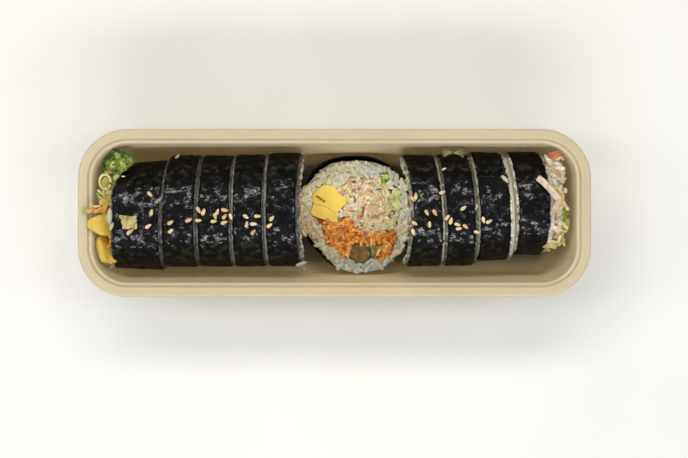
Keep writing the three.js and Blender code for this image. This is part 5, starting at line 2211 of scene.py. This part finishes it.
# One stick of crab that splits: how far each strand strays along, across and up, and its colour.
CRAB_SPLITS = (
    (0.0, 0.0, 0.0, "#b7784a"), (1.0, -1.2, -0.2, "#c99c78"), (-1.1, 0.7, 0.4, "#a86a42"),
    (0.5, 0.9, -0.7, "#b58258"),
)
SPLIT_CRAB = [
    Strip(
        [(77.9, 12.6, 32), (89, 16.6 + dy, 33.4), (91.2 + dx, 18.8 + dy, 34.8), (93.4 + dx, 22.4 + dy, 37.6),
         (95.0 + dx, 24.8 + dy, 40.0 + dz), (96.8 + dx, 25.3 + dy, 40.6 + dz, 0.7)],
        2.1, 1.7, colour, 31 + 7 * i, 0.9 + i, 0.3, True,
    )
    for i, (dx, dy, dz, colour) in enumerate(CRAB_SPLITS)
]
RIGHT_END = RollEnd(
    RIGHT[3], 42, (Palette.RICE_PALE, Palette.RICE_PINK), (False, True), (1.6, 1.2), 3.4,
    wells=((15.1, 33.5, 4.0, 3.6), (0.5, 34.0, 2.6, 2.0), (-8.1, 31.0, 5.6, 3.8), (8.8, 28.6, 2.0, 2.4)),
    draws=78,
    heaps=[
        (middle, half, count, Palette.RICE_PINK)
        for middle, half, count in (
            ((11.5, 38, 1.5), (4.5, 3.0, 1.0), 26),
            ((15.5, 33, 2.2), (3.5, 3.5, 0.9), 26),
            ((2, 39.5, 1.0), (5.0, 2.2, 0.9), 20),
            ((-8, 38, 1.0), (4.0, 2.6, 0.9), 16),
            ((2, 24, 2.0), (8.0, 5.0, 0.9), 34),
            ((13.5, 37.5, 3.2), (4.5, 2.0, 1.1), 22),
            ((17.0, 36.5, 1.6), (2.6, 2.6, 1.4), 20),
        )
    ],
    largest=1.25,
    palette=Palette.RICE_PINK,
    fillings=(
        Bundle("crab_end_right", CRAB, (
            *SPLIT_CRAB,
            Strip([(95.6, 22.8, 38.2), (97.0, 23.8, 39.6), (98.6, 23.0, 39.8)], 1.4, 1.0, "#a3914c", 69),
        ), ["crab_right_4"], Tray().held),
        Bundle("lettuce_rib_right", LEAF, (
            Strip([(77.9, 0.4, 33), (92, 0.6, 34.6), (98.2, 0.8, 37.2)], 3.6, 2.4, "#a7b05a", 32, 0, 0.3),
        ), ["lettuce_right_4"]),
        Bundle(
            "lettuce_frills_right", LEAF,
            [Frill((96.8, 0.6, 38.4), -84, 84, 4.2, 0.12, 2, 0.6, 5.0)], wall=0.45
        ),
        Bundle("cabbage_end_right", CABBAGE, (
            Strip([(77.9, -7, 30), (92.6, -8.4, 31.4), (97, -9.4, 34.6, 0.85)], 9.6, 4.4,
                  "#c9bf8f", 33, 0.35, 0.4),
            *shredded((
                ([(92, -3.6, 34), (97, -4.2, 38.0), (101, -4.4, 38.4)], 4.4),
                ([(91, -8.8, 33), (96, -9.2, 37.0), (98.8, -9.6, 37.2)], 4.2),
                ([(88, -13.0, 32), (93.2, -13.4, 36.2), (95.9, -13.8, 36.0)], 3.6),
                ([(90.0, -14.8, 28), (92.4, -15.4, 31.6), (93.4, -15.4, 32.8)], 2.6),
            ), 1.3, ("#a89b70",), 34),
            *shredded((
                ([(94, -4.2, 34), (97.6, -5.2, 37), (100, -3, 38.6)], 1.9),
                ([(93.6, -12.6, 29.6), (97, -13.4, 33.4), (99.2, -11.2, 35.6)], 1.9),
                ([(94.6, -8.0, 34.6), (98.2, -8.6, 36.6), (100.2, -6.4, 37.6)], 1.4),
                ([(93.8, -10.4, 33.6), (97.8, -11.4, 35.8), (99.6, -14.0, 35.4)], 1.3),
                ([(95.4, -6.4, 35.4), (98.8, -4.8, 36.6), (100.4, -7.6, 36.2)], 1.2),
                ([(94.6, -2.6, 35.8), (97.8, -4.0, 39.4), (100.2, -6.6, 39.4)], 1.5),
                ([(94.0, -8.6, 36.0), (96.6, -7.0, 38.2), (99.8, -8.0, 38.4)], 1.3),
                ([(93.0, -11.6, 35.6), (96.2, -12.4, 38.0), (97.4, -9.6, 38.2)], 1.2),
            ), 1.3, ("#b3a868", "#c8bd94", "#c2b785"), 38),
        ), ["cabbage_right_4"]),
        Bundle("carrot_end_right", CARROT, (
            Strip([(77.9, 8.6, 26), (93, 8.8, 29), (98.6, 9.4, 34), (99.4, 9.8, 38)], 2.6, 2.2,
                  "#c3bd9c", 40, 0, 0.2),
            Strip([(97.6, 9.8, 37.6), (97.4, 7.2, 40.4), (98.4, 4.4, 40.6), (100.4, 1.4, 39.6)], 1.5, 1.1,
                  "#d6caa0", 53),
            Strip([(95.4, 11.2, 41.6), (97.0, 8, 43.0), (96.6, 4, 42.8), (95.2, 0.2, 41.9)], 2.0, 1.1,
                  "#d4be78", 56),
            Strip([(94.6, 9.6, 43.0), (96.2, 7.8, 44.2), (96.4, 6.0, 43.8)], 1.6, 1.0, "#c88a48", 57),
        ), ["carrot_right_4"]),
    ),
)


# ---- What lies loose on the roll ---------------------------------------------------------------------------

# Sesame seeds: place along and across the tray, and turn in degrees.
SEEDS = [
    (-78.5, 8, -45), (-77.6, 0.1, 75), (-79, -5.7, 35), (-69.5, -4.1, 30), (-69.5, -7.7, 40),
    (-61.8, -3.1, 25), (-57.6, 1.2, -60), (-55.5, 0.4, 70), (-57.7, -3.2, 0), (-84.4, -5.6, 80),
    (-87.4, -8.3, 60), (-49.6, 0.4, 70), (-50.6, -1.4, -70), (-51.2, -3.6, 5), (-46.5, 1.2, -10),
    (-46.6, -1.6, 50), (-46.8, -4.1, 20), (-43.9, -1.6, -70), (-37.5, -1.6, -35), (-37.2, -4.9, 80),
    (-34.3, -4.7, 0), (-32.6, -1.4, 0), (-34.5, -8.2, 50), (-26.5, -2.4, 50), (-27.5, -5.4, 35),
    (33.3, 5.9, -45), (34.5, 7.1, 85), (39.2, 0.1, -60), (42.6, 0.1, -60), (34, -4.4, -30),
    (40.4, -4.9, 90), (45.8, 8.7, 20), (47.8, -2, 50), (49.4, -3.4, 75), (54.7, 2, 35), (52.2, -4.9, -20),
    (52.9, -6.7, 5), (55.7, -5.8, -40), (60.6, -8.2, -15), (63.4, -3, -75), (65.8, -3.7, 30),
    (33.6, -8.2, -70),
]
SEED_LIFT = 0.42  # from the smooth sleeve to a seed's middle
# Loose grains: place along and across the tray, turn in degrees, height over the seaweed, size and colour.
BITS = [
    (72.8, 14.5, -45, 0.7, 0.8, "#b5b5a8"), (47.0, 18.9, 20, 0.3, 0.4, "#d3d2c0"),
    (-90.5, 15.7, 0, 0.3, 0.3, "#d3d2c0"), (-95.4, -1.2, 90, 0.2, 1.15, "#b7ae98"),
    (-96.1, -1.6, 80, -1.3, 1.1, "#aba188"), (-94.6, -5.7, 70, 0.2, 0.7, "#b1a78e"),
    (-68.6, 24.3, 60, 0.4, 0.7, "#b5b2a0"), (-14.6, -22.0, 20, 0.6, 0.95, "#b5ae98"),
    (-14.4, -22.9, -40, 0.6, 0.85, "#aaa38d"), (-14.1, 21.2, 60, 0.3, 0.45, "#7c4636"),
    (-74.8, 5.2, 40, -0.1, 0.8, "#7d7e78"), (-86.2, -7.4, 60, 0.3, 0.6, "#bda878"),
    (-96.6, -22.6, 60, 0.4, 0.8, "#a3917f"),
]


def on_roll(x: float, y: float) -> tuple[float, float]:
    """Finds the roll's upper surface at a place of the tray.

    Args:
        x: Place along the tray, in mm.
        y: Place across the tray, in mm.

    Returns:
        The surface's height, and how far it tilts about X, in radians.
    """
    crown = 49.0  # height at which the cuts are compared
    nearest = min(
        LEFT + RIGHT, key=lambda s: max(s.start.at(y, crown, s.radius) - x, x - s.end.at(y, crown, s.radius))
    )
    return nearest.crest(y), -math.asin((y - nearest.y) / nearest.radius)


LEFT_SCRAP = (-87.4, -3.9)
SCRAPS = (
    Bundle("leaf_scrap_left", LEAF, [
        Scrap((*LEFT_SCRAP, on_roll(*LEFT_SCRAP)[0] + 0.5), 3.1, 1.0, ("#c0ab80", "#98a255")),
    ], ["lettuce_scrap_left"], wall=0.4),
    Bundle("leaf_scrap_right", LEAF, [
        Frill((x, 26.3, 35.6), start, stop, 4.4, 0.12, 1, 0.5, seed, "#87835a", 0.7)
        for x, start, stop, seed in ((51.6, -26, 26, 1.0), (51.2, 154, 206, 2.0))
    ], ["lettuce_scrap_right"], wall=0.5),
    Bundle("crab_strand_loose", CRAB, (
        Strip([(86.9, 14.9, 44.9), (90, 12.2, 45.6), (93.4, 8.4, 46.3), (95.8, 5.4, 46.5)], 2.8, 1.5,
              "#c6b8a0", 50, fine=True),
        Strip([(95.6, 5.8, 46.5), (94, 2, 46.5), (92.4, -0.6, 46.3, 0.7)], 2.5, 1.4, "#bca992", 54,
              fine=True),
    ), ["crab_strand"]),
)


class Strewn:
    """Dresses what lies loose on the roll."""

    def sesame(self) -> None:
        """Makes the sesame seeds, each where the photo shows it."""
        rng = np.random.default_rng(5)
        count = len(SEEDS)
        x, y, degrees = np.array(SEEDS, float).T
        height, tilt = np.array([on_roll(*place) for place in zip(x, y)]).T
        c, s = np.cos(tilt), np.sin(tilt)
        lean = np.zeros((count, 3, 3))
        lean[:, 0, 0] = 1
        lean[:, 1, 1], lean[:, 1, 2], lean[:, 2, 1], lean[:, 2, 2] = c, -s, s, c
        places = np.stack([x, y, height + SEED_LIFT], 1)
        tints = Palette.SESAME.draw(rng, count, 0.1)
        mould = Mould()
        lay(mould, [SEED], places, rng, tints, np.radians(degrees), 0.06, lean, 0.2, (0.93, 1.08))
        mould.pour("sesame_seeds", SESAME, [f"nori_{slice_.name}" for slice_ in LEFT + RIGHT])

    def grains(self) -> None:
        """Makes the stray grains of rice."""
        mould = Mould()
        for x, y, degrees, lift, size, colour in BITS:
            turn = turns(*np.radians([[degrees], [6.0], [20.0]]), np.array([size]))
            place = np.array([[x, y, on_roll(x, y)[0] + lift]])
            mould.scatter(GRAINS[0], turn, place, rgb(colour)[None])
        mould.pour("stray_rice", RICE)

    def dress(self) -> None:
        """Makes the seeds, the scraps and the stray grains."""
        self.sesame()
        for scrap in SCRAPS:
            scrap.dress()
        self.grains()


# ---- Studio ------------------------------------------------------------------------------------------------


@dataclass(frozen=True)
class Softbox:
    """A rectangular light.

    Attributes:
        name: Its name.
        place: Where it hangs, in mm.
        size: Its width and height, in mm.
        watts: Its power.
        colour: Its colour, as sRGB hex.
    """

    name: str
    place: tuple[float, float, float]
    size: tuple[float, float]
    watts: float
    colour: str = "#ffffff"

    def hang(self) -> None:
        """Adds the light, aimed at the roll."""
        light = bpy.data.lights.new(self.name, "AREA")
        light.shape = "RECTANGLE"
        light.size, light.size_y = self.size[0] * MM, self.size[1] * MM
        light.energy = self.watts
        light.color = rgb(self.colour)
        lamp = bpy.data.objects.new(self.name, light)
        lamp.location = Vector(self.place) * MM
        aim = Vector((0, 0, 25)) * MM - lamp.location
        lamp.rotation_euler = aim.to_track_quat("-Z", "Y").to_euler()
        bpy.context.scene.collection.objects.link(lamp)


@dataclass(frozen=True)
class Studio:
    """The floor, the lights, the sky and the camera.

    Attributes:
        half: Half the floor's side, in mm.
        drop: How far the floor lies under the tray's base, in mm.
        sky: Strength of the sky.
        lens: Focal length, in mm, for a frame of 36 mm.
        eye: Where the camera stands, in mm. It looks straight down.
        boxes: The lights.
    """

    half: float = 1500.0
    drop: float = 0.4
    sky: float = 0.24
    lens: float = 74.25
    eye: tuple[float, float, float] = (4.1, -6.84, 650.0)
    boxes: tuple[Softbox, ...] = (
        Softbox("far_window", (-80, 540, 820), (1000, 200), 5.6, "#fffbf4"),
        Softbox("left_lamp", (-540, 60, 800), (260, 500), 2.7),
        Softbox("right_lamp", (540, 60, 800), (260, 500), 2.0),
        Softbox("near_lamp", (40, -760, 640), (1000, 220), 7.0, "#f8f9ff"),
    )

    def floor(self) -> None:
        """Adds the floor."""
        mould = Mould()
        signs = ((-1, -1), (1, -1), (1, 1), (-1, 1))
        corners = np.array([(x * self.half, y * self.half, -self.drop) for x, y in signs])
        mould.add(Shape(corners, np.arange(4), np.array([4])))
        floor = mould.sheet("card_floor", CARD)

    def room(self) -> None:
        """Adds the sky: a faint even light from all sides."""
        world = bpy.data.worlds.new("room")
        world.use_nodes = True
        world.node_tree.nodes.clear()
        sky = add_node(world.node_tree, "Background", {"Color": linear("#fbfaf7"), "Strength": self.sky})
        add_node(world.node_tree, "OutputWorld", links={"Surface": sky.outputs[0]})
        bpy.context.scene.world = world
        bpy.context.scene.view_settings.view_transform = "Standard"

    def camera(self) -> None:
        """Adds the camera, over the tray as in the photo."""
        camera = bpy.data.cameras.new("photo")
        camera.sensor_width, camera.lens = 36.0, self.lens
        camera.clip_start, camera.clip_end = 0.05, 10.0
        camera.dof.use_dof = False
        eye = bpy.data.objects.new("photo", camera)
        eye.location = Vector(self.eye) * MM
        bpy.context.scene.collection.objects.link(eye)
        bpy.context.scene.camera = eye

    def dress(self) -> None:
        """Adds all of it."""
        self.floor()
        for box in self.boxes:
            box.hang()
        self.room()
        self.camera()


def main() -> None:
    """Builds the whole scene, and keeps its size."""
    # Rim tints for rice in the narrow gaps between slices: the greys, warm or not, are painted shade of the
    # gaps.
    grey, warm, pale = Palette.RICE_GREY, Palette.RICE_GREY_WARM, Palette.RICE_PALE
    pieces = (
        Tray(),
        Standing(LEFT[1], 11, (grey, grey), margins=(0.6, 0.8)),
        Standing(LEFT[2], 12, (grey, grey), margins=(0.8, 0.8)),
        Standing(LEFT[3], 13, (grey, grey), margins=(0.8, 0.8)),
        Facing(LEFT[4], 31, (grey, grey), (False, True), turn=35),
        FlatSlice(),
        Facing(RIGHT[0], 32, (warm, warm), (True, False), turn=-70),
        Standing(RIGHT[1], 21, (warm, warm), margins=(1.0, 1.0)),
        Standing(RIGHT[2], 22, (warm, pale), margins=(1.0, 1.6)),
        LEFT_END,
        RIGHT_END,
        Strewn(),
        Studio(),
    )
    for piece in pieces:
        log.info("dressing %s", type(piece).__name__)
        piece.dress()


if __name__ == "__main__":
    logging.basicConfig(level=logging.INFO, format="%(name)s %(message)s")
    main()
